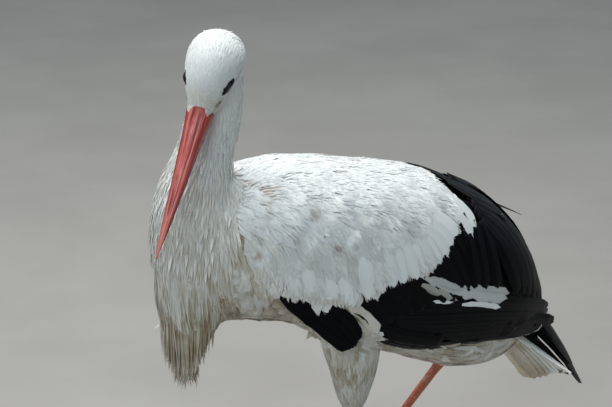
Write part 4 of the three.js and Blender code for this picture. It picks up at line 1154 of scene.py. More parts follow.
# ---------------------------------------------------------------- small feathers, tract by tract
def lance(s, fat=0.42):
    return np.clip((s + 0.03) / fat, 0, 1) ** 0.6 * np.clip((1.02 - s) / (1 - fat), 0, 1) ** 0.75


def oval(s, start=0.22, end=0.62):
    w = np.clip((s + 0.04) / start, 0, 1) ** 0.55
    k = np.clip((s - end) / (1 - end), 0, 1)
    return w * np.sqrt(np.clip(1 - k ** 2, 0.03, 1))


def contour(coat, pts, L, W, n, m, profile, thick, spread=0.10, jag=0.06, roll=0.10, lay=0.5, droop=0.0, tip_round=0.16, proud=0.0, dirs=None, loose=4.5,
            limit=None, puff=None, tint=None, depth_of=None, ruffle=0.0, sunk=0.0, dip=0.35, stay=0.0, hang=0.0):
    """Feathers rooted in the skin at pts and lying back over their neighbours."""
    reg = region(pts)
    q, nrm = body.near(pts)
    d = lie(pts, reg) if dirs is None else dirs
    d = unit(d + waves(pts, 55, 11) * spread + rng.normal(0, spread * 0.5, pts.shape))
    if stay:
        march(body, pts, d, L, n, loose, droop)
        keep = (march.stays >= stay) | (pts[:, 2] < hang)
        pts, reg, q, nrm, d, L, W = pts[keep], reg[keep], q[keep], nrm[keep], d[keep], L[keep], W[keep]
        puff = puff if puff is None else puff[keep]
        tint = tint if tint is None else tint[keep]
        if limit is not None:
            slack = np.flatnonzero(keep)
            limit_ = limit
            limit = lambda c, i: limit_(c, slack[i])
    if limit is not None:
        C, T, M = march(body, pts, d, L, n, loose, droop)
        ok = limit(C.reshape(-1, 3), np.repeat(np.arange(len(pts)), n)).reshape(len(pts), n)
        good = np.cumprod(ok, axis=1).sum(1) / n
        L = L * np.where(good >= 1, 1.0, np.maximum(good, 0.02))
        keep = good > 0.42
        pts, reg, q, nrm, d, L, W = pts[keep], reg[keep], q[keep], nrm[keep], d[keep], L[keep], W[keep]
        if puff is not None:
            puff = puff[keep]
        if tint is not None:
            tint = tint[keep]
    C, T, M = march(body, pts, d, L, n, loose, droop)
    s = np.linspace(0, 1, n)
    dep = (coat_depth(pts, reg) if depth_of is None else depth_of(pts, reg))[:, None]
    lift = -dep * (1 - s[None] ** 0.42) + lay * rng.random(len(pts))[:, None] * s[None] + proud * s[None] ** 2 - sunk * s[None] ** 0.42 - dip * smoothstep(0.62, 1.0, s)[None]
    if puff is not None:
        lift = lift + puff[:, None] * s[None] ** 1.6
    if ruffle:
        lift = lift + ruffle * waves(C.reshape(-1, 3), 38, 23)[:, 0].reshape(C.shape[:2]) * s[None]
    if tint is None:
        tint = markings_and_painted_shade(pts, reg)
        tint[:, 0] *= rng.uniform(0.6, 1.4, len(pts))
        tint[:, 1] *= rng.uniform(0.93, 1.05, len(pts))
    th = thick if np.ndim(thick) else np.full(len(pts), thick)
    lens_feathers(coat, C, T, M, L, W, profile, th, lift, m, unwrap(pts, reg), tint, jag=jag, roll=roll, tip_round=tip_round)
    return len(pts)


coats = {k: Coat(k, m, s, relief={"coat_head": 0.12, "coat_neck": 0.5, "wing_black": 0.25}.get(k, 1.0)) for k, m, s in (
    ("coat_head", WHITE, "white_plumage"), ("coat_neck", WHITE, "white_plumage"), ("coat_breast", WHITE, "white_plumage"),
    ("coat_back", WHITE, "white_plumage"), ("coat_belly", WHITE, "white_plumage"), ("coat_thighs", WHITE, "white_plumage"),
    ("wing_black", BLACK, "black_plumage"))}


def sizes(p, spec):
    """Length and half width of wing coverts by how far they lie below the crest."""
    crest, zc, wide, low = table(ARCH, p[:, 1]).T
    t = np.clip((crest - p[:, 2]) / 120, 0, 1)
    front = 0.72 + 0.28 * smoothstep(-130, -40, p[:, 1])
    L = (26 + 32 * t ** 1.1 + 8 * smoothstep(60, 160, p[:, 1])) * front
    W = (5.0 + 3.6 * t) * front
    return L, W


# wings and back, white
black_f = is_black(face_mid, face_reg, 4.0)
m = (face_reg == WINGR) & ~black_f
pts = scatter(body, m, lambda c: 0.075 * sizes(c, 0)[0] + 1.25)
L, W = sizes(pts, 0)
edge_slack = rng.uniform(-3.0, 2.0, len(pts) )
count = contour(coats["coat_back"], pts, L, W, 6, 5, oval, 0.16, spread=0.12, jag=0.05, roll=0.02, lay=0.12, dip=0.95, stay=0.6, limit=lambda c, i: inside(WHITE_EDGE, c[:, 1:3] + np.stack([edge_slack[i], -edge_slack[i]], 1)),
                tip_round=0.20, ruffle=0.9)
print("back feathers", count)
# loose barbs that soften the coverts' edges
pts = scatter(body, m, lambda c: 3.3 + 0.5 * smoothstep(540, 460, c[:, 2]))
L, W = sizes(pts, 0)
edge_slack = rng.uniform(-1.0, 3.0, len(pts))
count = contour(coats["coat_back"], pts, L * rng.uniform(0.36, 0.56, len(pts)), rng.uniform(0.9, 1.7, len(pts)), 5, 3, lance, 0.10, spread=0.16, jag=0.05, roll=0.04,
                lay=0.22, dip=0.45, limit=lambda c, i: inside(WHITE_EDGE, c[:, 1:3] + np.stack([edge_slack[i], -edge_slack[i]], 1)), tip_round=0.05, ruffle=0.9,
                puff=0.12 + np.where(inside(WHITE_EDGE, pts[:, 1:3] + [6.0, -44.0]) | ~inside(WHITE_EDGE, pts[:, 1:3] + [4.0, -20.0]), 0.0, 1.25) * (pts[:, 1] < 150), stay=0.6)
print("barbs", count)

# black ground of the wing
m = (face_reg == WINGR) & is_black(face_mid, face_reg, -4.0)
pts = scatter(body, m, lambda c: np.full(len(c), 9.5))
count = contour(coats["wing_black"], pts, rng.uniform(34, 50, len(pts)), rng.uniform(8, 11, len(pts)), 7, 7, oval, 0.30, spread=0.08, jag=0.03, roll=0.02, lay=0.2,
                tip_round=0.16, depth_of=lambda p, r: np.full(len(p), 6.4), sunk=3.4)
print("black ground", count)

# head
def face_rim(p, slack=0.0):
    """Negative inside the bare parts: the patch round the eye and the bill's base."""
    h = head_coords(p)
    f, l, u = h.T
    ef, eu = (f - 0.1) / (12.3 + slack), (u - 5.6 - 0.10 * f) / (6.1 + slack)
    eye = np.sqrt(ef ** 2 + eu ** 2 * (1 + 0.8 * np.clip(ef, 0, 1) ** 2)) - 1
    eye = np.where(np.abs(l) > 12, eye, 1)
    lim = np.where(u < -12, 33.0, 30.5)
    return np.minimum(eye, (lim - f) / 10 + slack * 0.02)


m = (face_reg == HEADR) & (face_rim(face_mid, 0.6) > 0) & (face_h[:, 0] < 33)
pts = scatter(body, m, lambda c: 1.15 + 0.55 * smoothstep(14, -40, head_coords(c)[:, 0]))
hc = head_coords(pts)
fore = smoothstep(12, -44, hc[:, 0])
L = 4.2 + 7.6 * fore + rng.uniform(-0.6, 0.8, len(pts))
W = 0.95 + 0.75 * fore
tuft = (rng.random(len(pts)) < 0.05) & (hc[:, 0] < -38) & (hc[:, 2] > 8)
puff = np.where(tuft, rng.uniform(0.6, 1.7, len(pts)), 0.0) + 1.5 * smoothstep(-6, -44, hc[:, 0]) * rng.uniform(0.55, 1.0, len(pts))
tint = markings_and_painted_shade(pts, region(pts))
tint[:, 0] *= rng.uniform(0.6, 1.4, len(pts))
tint[:, 1] *= rng.uniform(0.94, 1.05, len(pts))
# grey-brown lores between eye and bill
lore = np.exp(-((hc[:, 0] - 21.5) / 6.5) ** 2 - ((hc[:, 2] - 0.3 + 0.25 * (hc[:, 0] - 21.5)) / 2.9) ** 2) * (np.abs(hc[:, 1]) > 8)
tint[:, 0] = np.clip(tint[:, 0] + 0.75 * lore * rng.uniform(0.4, 1.2, len(pts)), 0, 1.1)
tint[:, 2] = np.clip(lore * rng.random(len(pts)) * 2.0 - 0.6, 0, 0.92)
count = contour(coats["coat_head"], pts, L, W, 4, 3, lance, 0.05, spread=0.07, jag=0.05, roll=0.02, lay=0.05, dip=0.22, puff=puff, tint=tint, tip_round=0.0, loose=3.0)
print("head feathers", count)

# neck
m = face_reg == NECKR
pts = scatter(body, m, lambda c: 1.75 + 0.8 * smoothstep(740, 600, c[:, 2]))
down = smoothstep(762, 580, pts[:, 2])
L = 11 + 25 * down ** 1.2 + rng.uniform(-2, 4, len(pts))
W = 1.25 + 1.15 * down
puff = np.where(rng.random(len(pts)) < 0.10, rng.uniform(0.5, 3.0, len(pts)), 0) * down + rng.uniform(0.6, 1.5, len(pts))
count = contour(coats["coat_neck"], pts, L, W, 6, 3, lance, 0.10, spread=0.08, jag=0.06, roll=0.03, lay=0.22, dip=0.45, puff=puff, tip_round=0.10)
print("neck feathers", count)

# breast plumes
m = face_reg == BREASTR
pts = scatter(body, m, lambda c: 2.5 + 0.0 * c[:, 0])
low = smoothstep(560, 440, pts[:, 2])
L = np.minimum(44 + 44 * low + rng.uniform(-8, 12, len(pts)), (pts[:, 2] - 384) * rng.uniform(0.55, 1.0, len(pts)) + 14)
W = 1.5 + 1.7 * rng.random(len(pts)) ** 2
plume_tint = markings_and_painted_shade(pts, region(pts))
lock = waves(pts * [1.0, 1.0, 0.22], 17, 31)[:, 0]          # locks of plumes share a tone
plume_tint[:, 0] = np.clip(plume_tint[:, 0] * (1.0 + 0.75 * lock) * rng.uniform(0.6, 1.4, len(pts)), 0, 1.2)
plume_tint[:, 1] *= rng.uniform(0.92, 1.04, len(pts)) - 0.05 * np.clip(lock, 0, 1)
count = contour(coats["coat_breast"], pts, L, W, 8, 3, lance, 0.14, spread=0.07, jag=0.03, roll=0.05, lay=0.8, dip=0.5, droop=0.5, tip_round=0.02, proud=0.3, ruffle=2.0, tint=plume_tint)
print("plumes", count)
# the longest plumes leave the breast and hang
m = (face_reg == BREASTR) & (face_mid[:, 2] < 492) & (face_mid[:, 2] > 412)
pts = scatter(body, m, lambda c: 3.3 + 0.0 * c[:, 0])
q_, nn_ = body.near(pts)
across_ = pts @ unit(np.array([0.866, 0.5, 0.0]))
mid_ = (BREAST_PATH[:, :2] @ np.array([0.866, 0.5])).mean()
end_ = 396 + 26 * np.clip(np.abs(across_ - mid_) / 34, 0, 1.3) ** 1.5 + rng.uniform(-4, 16, len(pts))
L = np.clip(pts[:, 2] - end_, 12, 76)
L = np.where(pts[:, 1] > -136, np.minimum(L, rng.uniform(14, 26, len(pts))), L)
down_ = unit(np.stack([0.05 * nn_[:, 0], 0.05 * nn_[:, 1], -np.ones(len(pts))], 1))
sel = nn_[:, 2] > np.where(pts[:, 1] > -136, -0.92, -0.6)
pts, L, down_ = pts[sel], L[sel], down_[sel]
W = 1.3 + 1.6 * rng.random(len(pts)) ** 2
tuft = markings_and_painted_shade(pts, region(pts))
tuft[:, 0] = np.clip(tuft[:, 0] * rng.uniform(0.7, 1.5, len(pts)) + 0.06, 0, 1)
tuft[:, 1] *= rng.uniform(0.93, 1.03, len(pts))
count = contour(coats["coat_breast"], pts, L, W, 8, 3, lance, 0.14, spread=0.05, jag=0.03, roll=0.05, lay=0.8, dip=0.3, loose=0.32, droop=0.35, tip_round=0.02,
                dirs=down_, tint=tuft)
print("hanging plumes", count)

# belly and under the tail
m = face_reg == BELLYR
pts = scatter(body, m, lambda c: 4.2 + 1.5 * smoothstep(60, 160, c[:, 1]))
rear = smoothstep(60, 200, pts[:, 1])
L = 30 + 20 * rear + rng.uniform(-4, 6, len(pts))
W = 5 + 4.5 * rear
count = contour(coats["coat_belly"], pts, L, W, 6, 5, oval, 0.16, spread=0.10, jag=0.06, roll=0.03, lay=0.15, dip=0.9, stay=0.6, droop=0.05, tip_round=0.18, ruffle=0.8)
print("belly feathers", count)

# thighs
m = (face_reg == THIGHL) | (face_reg == THIGHR)
pts = scatter(body, m, lambda c: 2.0 + 0.7 * smoothstep(360, 410, c[:, 2]))
leg = smoothstep(335, 400, pts[:, 2])
L = 15 + 14 * leg + rng.uniform(-2, 3, len(pts))
W = 1.3 + 1.5 * leg
count = contour(coats["coat_thighs"], pts, L, W, 5, 3, lance, 0.10, spread=0.09, jag=0.08, roll=0.03, lay=0.25, dip=0.35, proud=0.8, tip_round=0.04, stay=0.75, hang=352)
print("thigh feathers", count)

for c in coats.values():
    if c.name != "wing_black":
        c.write()


# ---------------------------------------------------------------- long feathers, each one built
def through(points, n, ease=1.0):
    """Smooth curve through a few points, evenly spaced, (n, k)."""
    p = np.asarray(points, float)
    if len(p) == 2:
        dense = p[0] + (p[1] - p[0]) * np.linspace(0, 1, 120)[:, None]
    else:
        rows = np.concatenate([np.arange(len(p))[:, None], p], 1)
        dense = table(rows, np.linspace(0, len(p) - 1, 160))
    seg = np.concatenate([[0], np.cumsum(np.linalg.norm(np.diff(dense, axis=0), axis=1))])
    u = 1 - (1 - np.linspace(0, 1, n)) ** ease
    return np.stack([np.interp(u * seg[-1], seg, dense[:, k]) for k in range(p.shape[1])], 1)


def fan(first, last, count, n=16, bow=None):
    """Paths that pass gradually from the first to the last."""
    a, b = through(first, n, 1.15), through(last, n, 1.15)
    t = np.linspace(0, 1, count)[:, None, None]
    return a[None] * (1 - t) + b[None] * t


def lay_side(paths, side, snap=40.0):
    """(k, n, 2) side-view paths laid on the outer side of the body; beyond it they go on smoothly."""
    k, n, _ = paths.shape
    flat = paths.reshape(-1, 2)
    o = np.stack([np.full(len(flat), side * 240.0), flat[:, 0], flat[:, 1]], 1)
    pts, nrm, hit = body.cast(o, np.tile([-side * 1.0, 0, 0], (len(flat), 1)))
    pts, nrm, hit = pts.reshape(k, n, 3), nrm.reshape(k, n, 3), hit.reshape(k, n)
    hit &= pts[..., 0] * side > 4
    C = np.zeros((k, n, 3))
    M = np.zeros((k, n, 3))
    for i in range(k):
        idx = np.arange(n)
        h = hit[i]
        if h.sum() < 2:
            C[i, :, 0] = side * 30
            M[i] = [side, 0, 0]
        else:
            x = np.interp(idx, idx[h], pts[i, h, 0])
            last = idx[h][-1]
            if last < n - 1 and last > 2:
                slope = (x[last] - x[last - 2]) / 2
                slope = np.clip(slope, -4.0, 4.0)
                x[last + 1:] = x[last] + slope * (idx[last + 1:] - last)
                x = np.where(side > 0, np.maximum(x, 3), np.minimum(x, -3))
            C[i, :, 0] = x
            for ax in range(3):
                M[i, :, ax] = np.interp(idx, idx[h], nrm[i, h, ax])
        C[i, :, 1:] = paths[i]
    for _ in range(4):
        C[:, 1:-1, 0] = 0.25 * C[:, :-2, 0] + 0.5 * C[:, 1:-1, 0] + 0.25 * C[:, 2:, 0]
        M[:, 1:-1] = 0.25 * M[:, :-2] + 0.5 * M[:, 1:-1] + 0.25 * M[:, 2:]
    M = unit(M * 0.75 + np.array([side * 0.25, 0, 0.0]))
    return C, M


def lay_near(paths, snap=26.0):
    """(k, n, 3) paths drawn onto the body where it is near."""
    k, n, _ = paths.shape
    q, m = body.near(paths.reshape(-1, 3))
    q, m = q.reshape(k, n, 3), m.reshape(k, n, 3)
    d = np.linalg.norm(q - paths, axis=2)
    w = np.clip(1.6 - d / snap, 0, 1)[..., None]
    C = paths * (1 - w) + q * w
    for _ in range(3):
        C[:, 1:-1] = 0.25 * C[:, :-2] + 0.5 * C[:, 1:-1] + 0.25 * C[:, 2:]
        m[:, 1:-1] = 0.25 * m[:, :-2] + 0.5 * m[:, 1:-1] + 0.25 * m[:, 2:]
    return C, unit(m)


VANE_A = np.array([-1, -0.74, -0.42, -0.06, 0, 0.06, 0.42, 0.74, 1])


def vanes(coat, C, M, half, tint, lift=0.0, rise=0.0, tip="round", asym=0.0, thick=0.55, camber=0.10, twist=0.0, notch=0.035, root_w=0.45, quill=0.45, start=0.10,
          root_reg=None, ragged=0.0, sink=0.0):
    """Long feathers with a raised quill, two webs and an edge of their own. C, M (k, n, 3); half (k,); tint (k, 3)."""
    k, n, _ = C.shape
    T = unit(np.gradient(C, axis=1))
    M = unit(M - (M * T).sum(2, keepdims=True) * T)
    B = np.cross(M, T)
    s = np.linspace(0, 1, n)
    seg = np.concatenate([np.zeros((k, 1)), np.cumsum(np.linalg.norm(np.diff(C, axis=1), axis=2), axis=1)], 1)
    L = seg[:, -1]
    frac = seg / L[:, None]
    half = np.broadcast_to(np.asarray(half, float), (k,))
    w0 = root_w + (1 - root_w) * smoothstep(0, start * 2.2, frac)
    if tip == "round":
        q = np.clip((frac - (1 - 1.15 * half / L)[:, None]) / (1.15 * half / L)[:, None], 0, 1)
        w1 = np.sqrt(np.clip(1 - q ** 2, 0.0, 1)) * 0.93 + 0.07
    elif tip == "point":
        q = np.clip((frac - 0.45) / 0.55, 0, 1)
        w1 = (1 - q ** 1.6) * 0.96 + 0.04
    elif tip == "square":
        q = np.clip((frac - (1 - 0.45 * half / L)[:, None]) / (0.45 * half / L)[:, None], 0, 1)
        w1 = np.sqrt(np.clip(1 - q ** 2, 0.0, 1)) * 0.45 + 0.55
    else:
        q = np.clip((frac - 0.72) / 0.28, 0, 1)
        w1 = np.sqrt(np.clip(1 - q ** 2, 0.0, 1)) * 0.9 + 0.1
    w = half[:, None] * w0 * w1
    a = VANE_A
    m = len(a)
    edge = np.abs(a) > 0.9
    near = (np.abs(a) > 0.6) & ~edge
    jag = np.ones((k, n, m)) + rng.normal(0, notch, (k, n, m)) * edge[None, None] + rng.normal(0, notch * 0.4, (k, n, m)) * near[None, None]
    # a few splits where barbs have parted
    split = (rng.random((k, n)) < 0.10)[:, :, None] * (edge[None, None] * rng.uniform(0.10, 0.30, (k, n, m)))
    jag = jag - split
    b = w[:, :, None] * a * (1 + asym * np.sign(a)) * jag
    h = -camber * (b ** 2) / np.maximum(half, 1)[:, None, None]
    h = h + np.where(np.abs(a) < 0.01, quill, np.where(np.abs(a) < 0.1, quill * 0.35, 0.0)) * (1 - 0.7 * frac[:, :, None])
    lift = np.broadcast_to(np.asarray(lift, float), (k,))[:, None, None] + rise * frac[:, :, None] - sink * (1 - smoothstep(0, 0.62, frac))[:, :, None]
    tw = np.broadcast_to(np.asarray(twist, float), (k,))[:, None, None] * frac[:, :, None]
    h = h + b * tw + lift
    along = -(0.10 * half[:, None, None] * np.abs(a) ** 2) * (frac ** 6)[:, :, None]
    if ragged:
        along = along - ragged * half[:, None, None] * rng.random((k, 1, m)) * (frac ** 6)[:, :, None]
    P = C[:, :, None] + B[:, :, None] * b[..., None] + M[:, :, None] * h[..., None] + T[:, :, None] * along[..., None]
    low = P - M[:, :, None] * (thick * (0.35 + 0.65 * (1 - np.abs(a)))[None, None, :, None])
    V = np.concatenate([P.reshape(k, -1, 3), low.reshape(k, -1, 3)], 1)
    fea = np.zeros((k, n, m, 3))
    fea[..., 0] = b
    fea[..., 1] = seg[:, :, None]
    fea[..., 2] = rng.random(k)[:, None, None]
    fea = fea.reshape(k, -1, 3)
    fea = np.concatenate([fea, fea], 1)
    root = C[:, 0]
    if root_reg is None:
        q, _ = body.near(root)
        rr = region(q)
    else:
        q, rr = root, np.full(k, root_reg)
    ruv = unwrap(q, rr)
    g = np.zeros((k, n, m, 2))
    g[..., 0] = ruv[:, None, None, 0] + 0.0015 * a
    g[..., 1] = ruv[:, None, None, 1] + 0.003 * (s[None, :, None] - 0.5)
    g = g.reshape(k, -1, 2)
    soft = None
    if coat.mat is WHITE:
        up_ = np.broadcast_to(M[:, :, None, :], (k, n, m, 3)).reshape(k, n * m, 3)
        around = V - V.mean(1, keepdims=True)
        soft = unit(np.concatenate([up_, -up_], 1) + 0.0 * around)
    coat.add(V, shell_template(n, m), fea, np.asarray(tint, float), np.concatenate([g, g], 1), soft)


def black_tint(k, warm=0.25, bright=1.0):
    return np.stack([np.full(k, warm) * rng.uniform(0.5, 1.4, k), bright * rng.uniform(0.8, 1.25, k), np.ones(k)], 1)


def white_tint(k, warm=0.12, bright=1.0):
    return np.stack([np.full(k, warm) * rng.uniform(0.6, 1.4, k), bright * rng.uniform(0.92, 1.05, k), np.zeros(k)], 1)


def spaced(first, last, count):
    return np.linspace(first, last, count)


wing_black = coats["wing_black"]
white_long = Coat("coverts_long", WHITE, "white_plumage")
primaries = {s: Coat(f"primaries_{n}", BLACK, "black_plumage", (f"wing_{n}_primaries",)) for s, n in ((1, "left"), (-1, "right"))}
paddle = {s: Coat(f"alula_{n}", BLACK, "black_plumage", (f"wing_{n}_alula",)) for s, n in ((1, "left"), (-1, "right"))}

for side in (1, -1):
    # lower band: secondaries over primaries, nearly level
    P = fan([(44, 476), (120, 464), (220, 444), (334, 404)], [(58, 434), (120, 414), (205, 401), (346, 376)], 8)
    P += rng.normal(0, 1.0, (8, 1, 2))
    C, M = lay_side(P, side)
    vanes(wing_black, C, M, rng.uniform(9.5, 11, 8), black_tint(8, 0.18), lift=spaced(-1.6, -3.6, 8), rise=0.4, tip="long", asym=-0.12 * side, camber=0.16)
    # shorter feathers in front of them, cut off square
    P = fan([(34, 452), (80, 430), (138, 410)], [(46, 434), (90, 412), (144, 394)], 4)
    C, M = lay_side(P, side)
    vanes(wing_black, C, M, spaced(11, 10, 4), black_tint(4, 0.15), lift=spaced(-1.2, -2.6, 4), tip="square", camber=0.16, asym=-0.1 * side)
    # rear edge, falling behind the tertials
    P = fan([(258, 470), (308, 436), (346, 372)], [(252, 500), (306, 452), (350, 362)], 2)
    C, M = lay_side(P, side)
    vanes(wing_black, C, M, [11, 11], black_tint(2, 0.3), lift=[-2.4, -1.8], tip="long", camber=0.14)
    # long tertials, sweeping down over the rump; their high warm tint paints a brownish sheen
    P = fan([(196, 548), (222, 515), (240, 480), (250, 448)], [(190, 588), (252, 548), (302, 488), (326, 410)], 7)
    P += rng.normal(0, 1.2, (7, 1, 2))
    C, M = lay_side(P, side)
    vanes(wing_black, C, M, spaced(12, 15, 7), black_tint(7, 0.8), lift=spaced(0.4, -2.0, 7), rise=0.8, tip="long", camber=0.20, asym=0.1 * side)
    # black greater coverts under the white edge
    t = np.linspace(0, 1, 13)
    root = np.stack([np.interp(t, [0, .3, .6, .8, 1], [4, 52, 108, 140, 168]), np.interp(t, [0, .3, .6, .8, 1], [488, 505, 520, 540, 562])], 1)
    ang = np.radians(np.interp(t, [0, 0.5, 1], [42, 50, 74]))
    ln = np.interp(t, [0, 0.5, 1], [58, 66, 84])
    tips = root + np.stack([np.cos(ang), -np.sin(ang)], 1) * ln[:, None]
    mid = (root + tips) / 2 + np.stack([np.sin(ang), np.cos(ang)], 1) * 4
    P = np.stack([through([root[i], mid[i], tips[i]], 12, 1.15) for i in range(13)])
    C, M = lay_side(P, side)
    vanes(wing_black, C, M, 11.5, black_tint(13, 0.45, 0.9), lift=spaced(-1.4, 0.6, 13), rise=0.4, tip="round", camber=0.2)
    # two rounded tips that hang in front of the tertials
    P = np.stack([through([(182, 552), (186, 515), (194, 468)], 12), through([(196, 548), (204, 512), (214, 464)], 12), through([(168, 540), (172, 505), (178, 474)], 12)])
    C, M = lay_side(P, side)
    vanes(wing_black, C, M, [10.5, 10.5, 10.0], black_tint(3, 0.3, 0.9), lift=[1.4, 1.0, 1.8], tip="round", camber=0.2)
    # white down showing between them and the band, most of it greyed with painted shade
    rows = [[(100, 502), (126, 488), (150, 472)], [(96, 494), (122, 480), (146, 466)], [(112, 498), (134, 486), (156, 474)], [(104, 486), (128, 474), (152, 462)],
            [(146, 476), (180, 464), (232, 446)], [(158, 478), (196, 466), (236, 452)],
            [(112, 470), (126, 466), (144, 462)], [(158, 456), (190, 449), (222, 437)]]
    P = np.stack([through(r, 10) for r in rows])
    C, M = lay_side(P, side)
    vanes(white_long, C, M, [5.0, 4.2, 4.6, 3.6, 7.5, 6.0, 2.2, 3.4], np.array([[0.14, 0.62, 0.05], [0.3, 0.55, 0.15], [0.12, 0.60, 0.1], [0.35, 0.45, 0.2],
          [0.14, 0.62, 0.0], [0.2, 0.58, 0.0], [0.05, 0.9, 0.0], [0.05, 0.95, 0.0]]), lift=[0.5, 0.2, 0.8, -0.2, 0.7, 0.4, -0.3, -0.3], tip="round", camber=0.12, notch=0.10, quill=0.2, ragged=0.9, thick=0.4)
    # white greater coverts, tips along the edge of the white
    tips = [(-64, 495), (-46, 492), (-24, 467), (-9, 477), (7, 479), (26, 487), (42, 492), (57, 496), (73, 499), (89, 501), (103, 505), (114, 509), (124, 514), (134, 521),
            (143, 531), (152, 542), (176, 533), (184, 543)]
    lens = [62, 78, 96, 92, 90, 86, 80, 78, 72, 70, 66, 64, 60, 58, 58, 58, 62, 62]
    halfs = [8, 9, 11, 11, 11, 11, 10, 10, 10, 9.5, 9, 9, 9, 9, 9, 9, 8, 8]
    P = []
    for (y, z), ln in zip(tips, lens):
        x = body.cast(np.array([[side * 240.0, y, z]]), np.array([[-side * 1.0, 0, 0]]))[0]
        reg1 = np.array([WINGR])
        d = lie(np.array([[x[0, 0], y, z + 12.0]]), reg1)[0]
        if z < 480:
            d = np.array([0, 0.42, -0.9])
        if 520 < z and y > 170:
            d = np.array([0, 0.50, -0.86])
        d = unit(d[1:])
        up = unit(np.array([d[0] * 1.0 + 0.45, d[1] + 0.20]))
        r0 = np.array([y, z]) - d * ln * 0.55
        r1 = r0 - up * ln * 0.45
        P.append(through([r1, r0, (y, z)], 12, 1.15))
    P = np.stack(P)
    C, M = lay_side(P, side)
    vanes(white_long, C, M, halfs, white_tint(len(P), 0.14), lift=spaced(0.5, 1.1, len(P)) + np.array([0.35 * (i % 2) for i in range(len(P))]),
          rise=0.0, sink=4.8, tip="long", camber=0.10, notch=0.07, quill=0.15, ragged=0.55, thick=0.4)

    # paddle below the wrist
    rows = [[(-82, 508), (-46, 475), (-12, 443), (6, 428)], [(-78, 506), (-44, 480), (-8, 449), (10, 429)], [(-68, 503), (-38, 483), (-2, 454), (13, 431)],
            [(-52, 499), (-28, 486), (4, 460), (14, 435)], [(-34, 491), (-12, 476), (8, 455), (14, 436)]]
    P = np.stack([through(r, 14, 1.15) for r in rows])
    x = side * (81 + 11 * smoothstep(-100, 10, P[..., 0]))
    C = np.concatenate([x[..., None], P], 2)
    M = np.tile(unit(np.array([side * 0.93, -0.30, 0.14])), (5, 14, 1))
    vanes(paddle[side], C, M, [8.5, 9.5, 10, 9.5, 8.5], black_tint(5, 0.1, 0.85), lift=[0.0, 0.8, 1.6, 2.4, 3.2], tip="round", camber=0.14, asym=0.0, thick=0.8, root_reg=WINGR)
    # white feathers between the paddle and the band
    rows = [[(0, 484), (22, 466), (44, 441)], [(16, 458), (34, 444), (52, 436)], [(6, 478), (26, 458), (40, 440)]]
    P = np.stack([through(r, 10) for r in rows])
    C, M = lay_side(P, side)
    vanes(white_long, C, M, [8.0, 6.0, 7.0], np.array([[0.45, 0.85, 0], [0.3, 0.95, 0], [0.5, 0.8, 0]]), lift=[0.2, -0.8, -0.4], tip="round", camber=0.16, notch=0.05, quill=0.25, ragged=0.15)

    # primaries crossing over the rump and tail
    n0 = unit(np.array([side * 0.70, 0.34, 0.62]))
    if side > 0:
        ends = [((28, 240, 436), (-24, 424, 264), 9.5, 15), ((32, 236, 444), (-17, 410, 281), 9.5, 15), ((36, 234, 448), (-8, 394, 302), 10, 15), ((38, 228, 456), (0, 374, 326), 10, 14)]
    else:
        ends = [((-36, 232, 428), (-36, 412, 274), 9.5, 10), ((-38, 230, 434), (-35, 398, 288), 9.5, 10), ((-42, 228, 440), (-32, 380, 304), 10, 10), ((-42, 222, 448), (-28, 358, 330), 10, 9)]
    rows = []
    for r, t_, w_, bow in ends:
        tt = np.linspace(0, 1, 5)[:, None]
        rows.append(through(np.array(r) + (np.array(t_) - np.array(r)) * tt + n0 * bow * 4 * tt * (1 - tt), 16, 1.15))
    C = np.stack(rows)
    vanes(primaries[side], C, np.tile(n0, (4, 16, 1)), [e_[2] for e_ in ends], black_tint(4, 0.2), lift=spaced(0.4, 3.4, 4), tip="long", asym=-0.2 * side, camber=0.14, thick=0.7, root_reg=WINGR)

# black scapular and tertial tips that show along the top of the rump
P = np.stack([through(r, 16, 1.1) for r in (
    [(-16, 150, 606), (-20, 200, 588), (-22, 246, 556)], [(-4, 152, 606), (-6, 200, 587), (-6, 250, 554)], [(8, 158, 603), (9, 206, 582), (10, 248, 552)],
    [(20, 166, 597), (24, 210, 573), (26, 246, 544)], [(-32, 156, 598), (-38, 204, 574), (-42, 246, 540)], [(34, 172, 588), (40, 214, 560), (44, 250, 528)])])
C, M = lay_near(P, 18)
vanes(wing_black, C, M, [13, 13, 12, 12, 13, 12], black_tint(6, 0.25, 1.2), lift=[0.4, 1.2, 0.8, 0.3, -0.2, -0.2], tip="round", camber=0.14)
P = np.stack([through([(-14, 218, 560), (-17, 262, 540), (-22, 322, 508)], 16, 1.1), through([(-20, 214, 556), (-24, 256, 528), (-26, 300, 492)], 16, 1.1)])
vanes(wing_black, P, np.tile(unit(np.array([-0.2, 0.35, 0.92])), (2, 16, 1)), [8.0, 9.0], black_tint(2, 0.2, 1.1), lift=[0.5, -2.0], tip="point", camber=0.12)
# a thin white strip on the outer tertial: a painted highlight along its edge
P = np.stack([through([(246, 540), (262, 524), (278, 500)], 8)])
C, M = lay_side(P, 1)
vanes(white_long, C, M, [1.6], np.array([[0.1, 0.9, 0.0]]), lift=[0.2], tip="round", camber=0.1, ragged=0.4)

# ---------------------------------------------------------------- tail
tail = Coat("tail_feathers", WHITE, "white_plumage", ("tail",))


def tail_point(u, v):
    reach = 224 * (1 - 0.09 * v * v) * u
    f_ = math.radians(8) * v
    x = 14 * v + reach * np.sin(f_)
    along = reach * np.cos(f_)
    slope = math.radians(35) + math.radians(5) * u
    arch = -9 * v * v * (0.4 + u) + math.tan(math.radians(24)) * x * u
    return np.stack([x, 203 + along * np.cos(slope), 436 - along * np.sin(slope) + arch], -1)


vs = np.linspace(-0.9, 0.9, 12)
u = 1 - (1 - np.linspace(0.0, 1, 18)) ** 1.15
C = tail_point(u[None, :], vs[:, None])
D = tail_point(u[None, :], vs[:, None] + 0.02) - C
T = unit(np.gradient(C, axis=1))
M = unit(np.cross(D, T))
M = np.where(M[..., 2:3] < 0, -M, M)
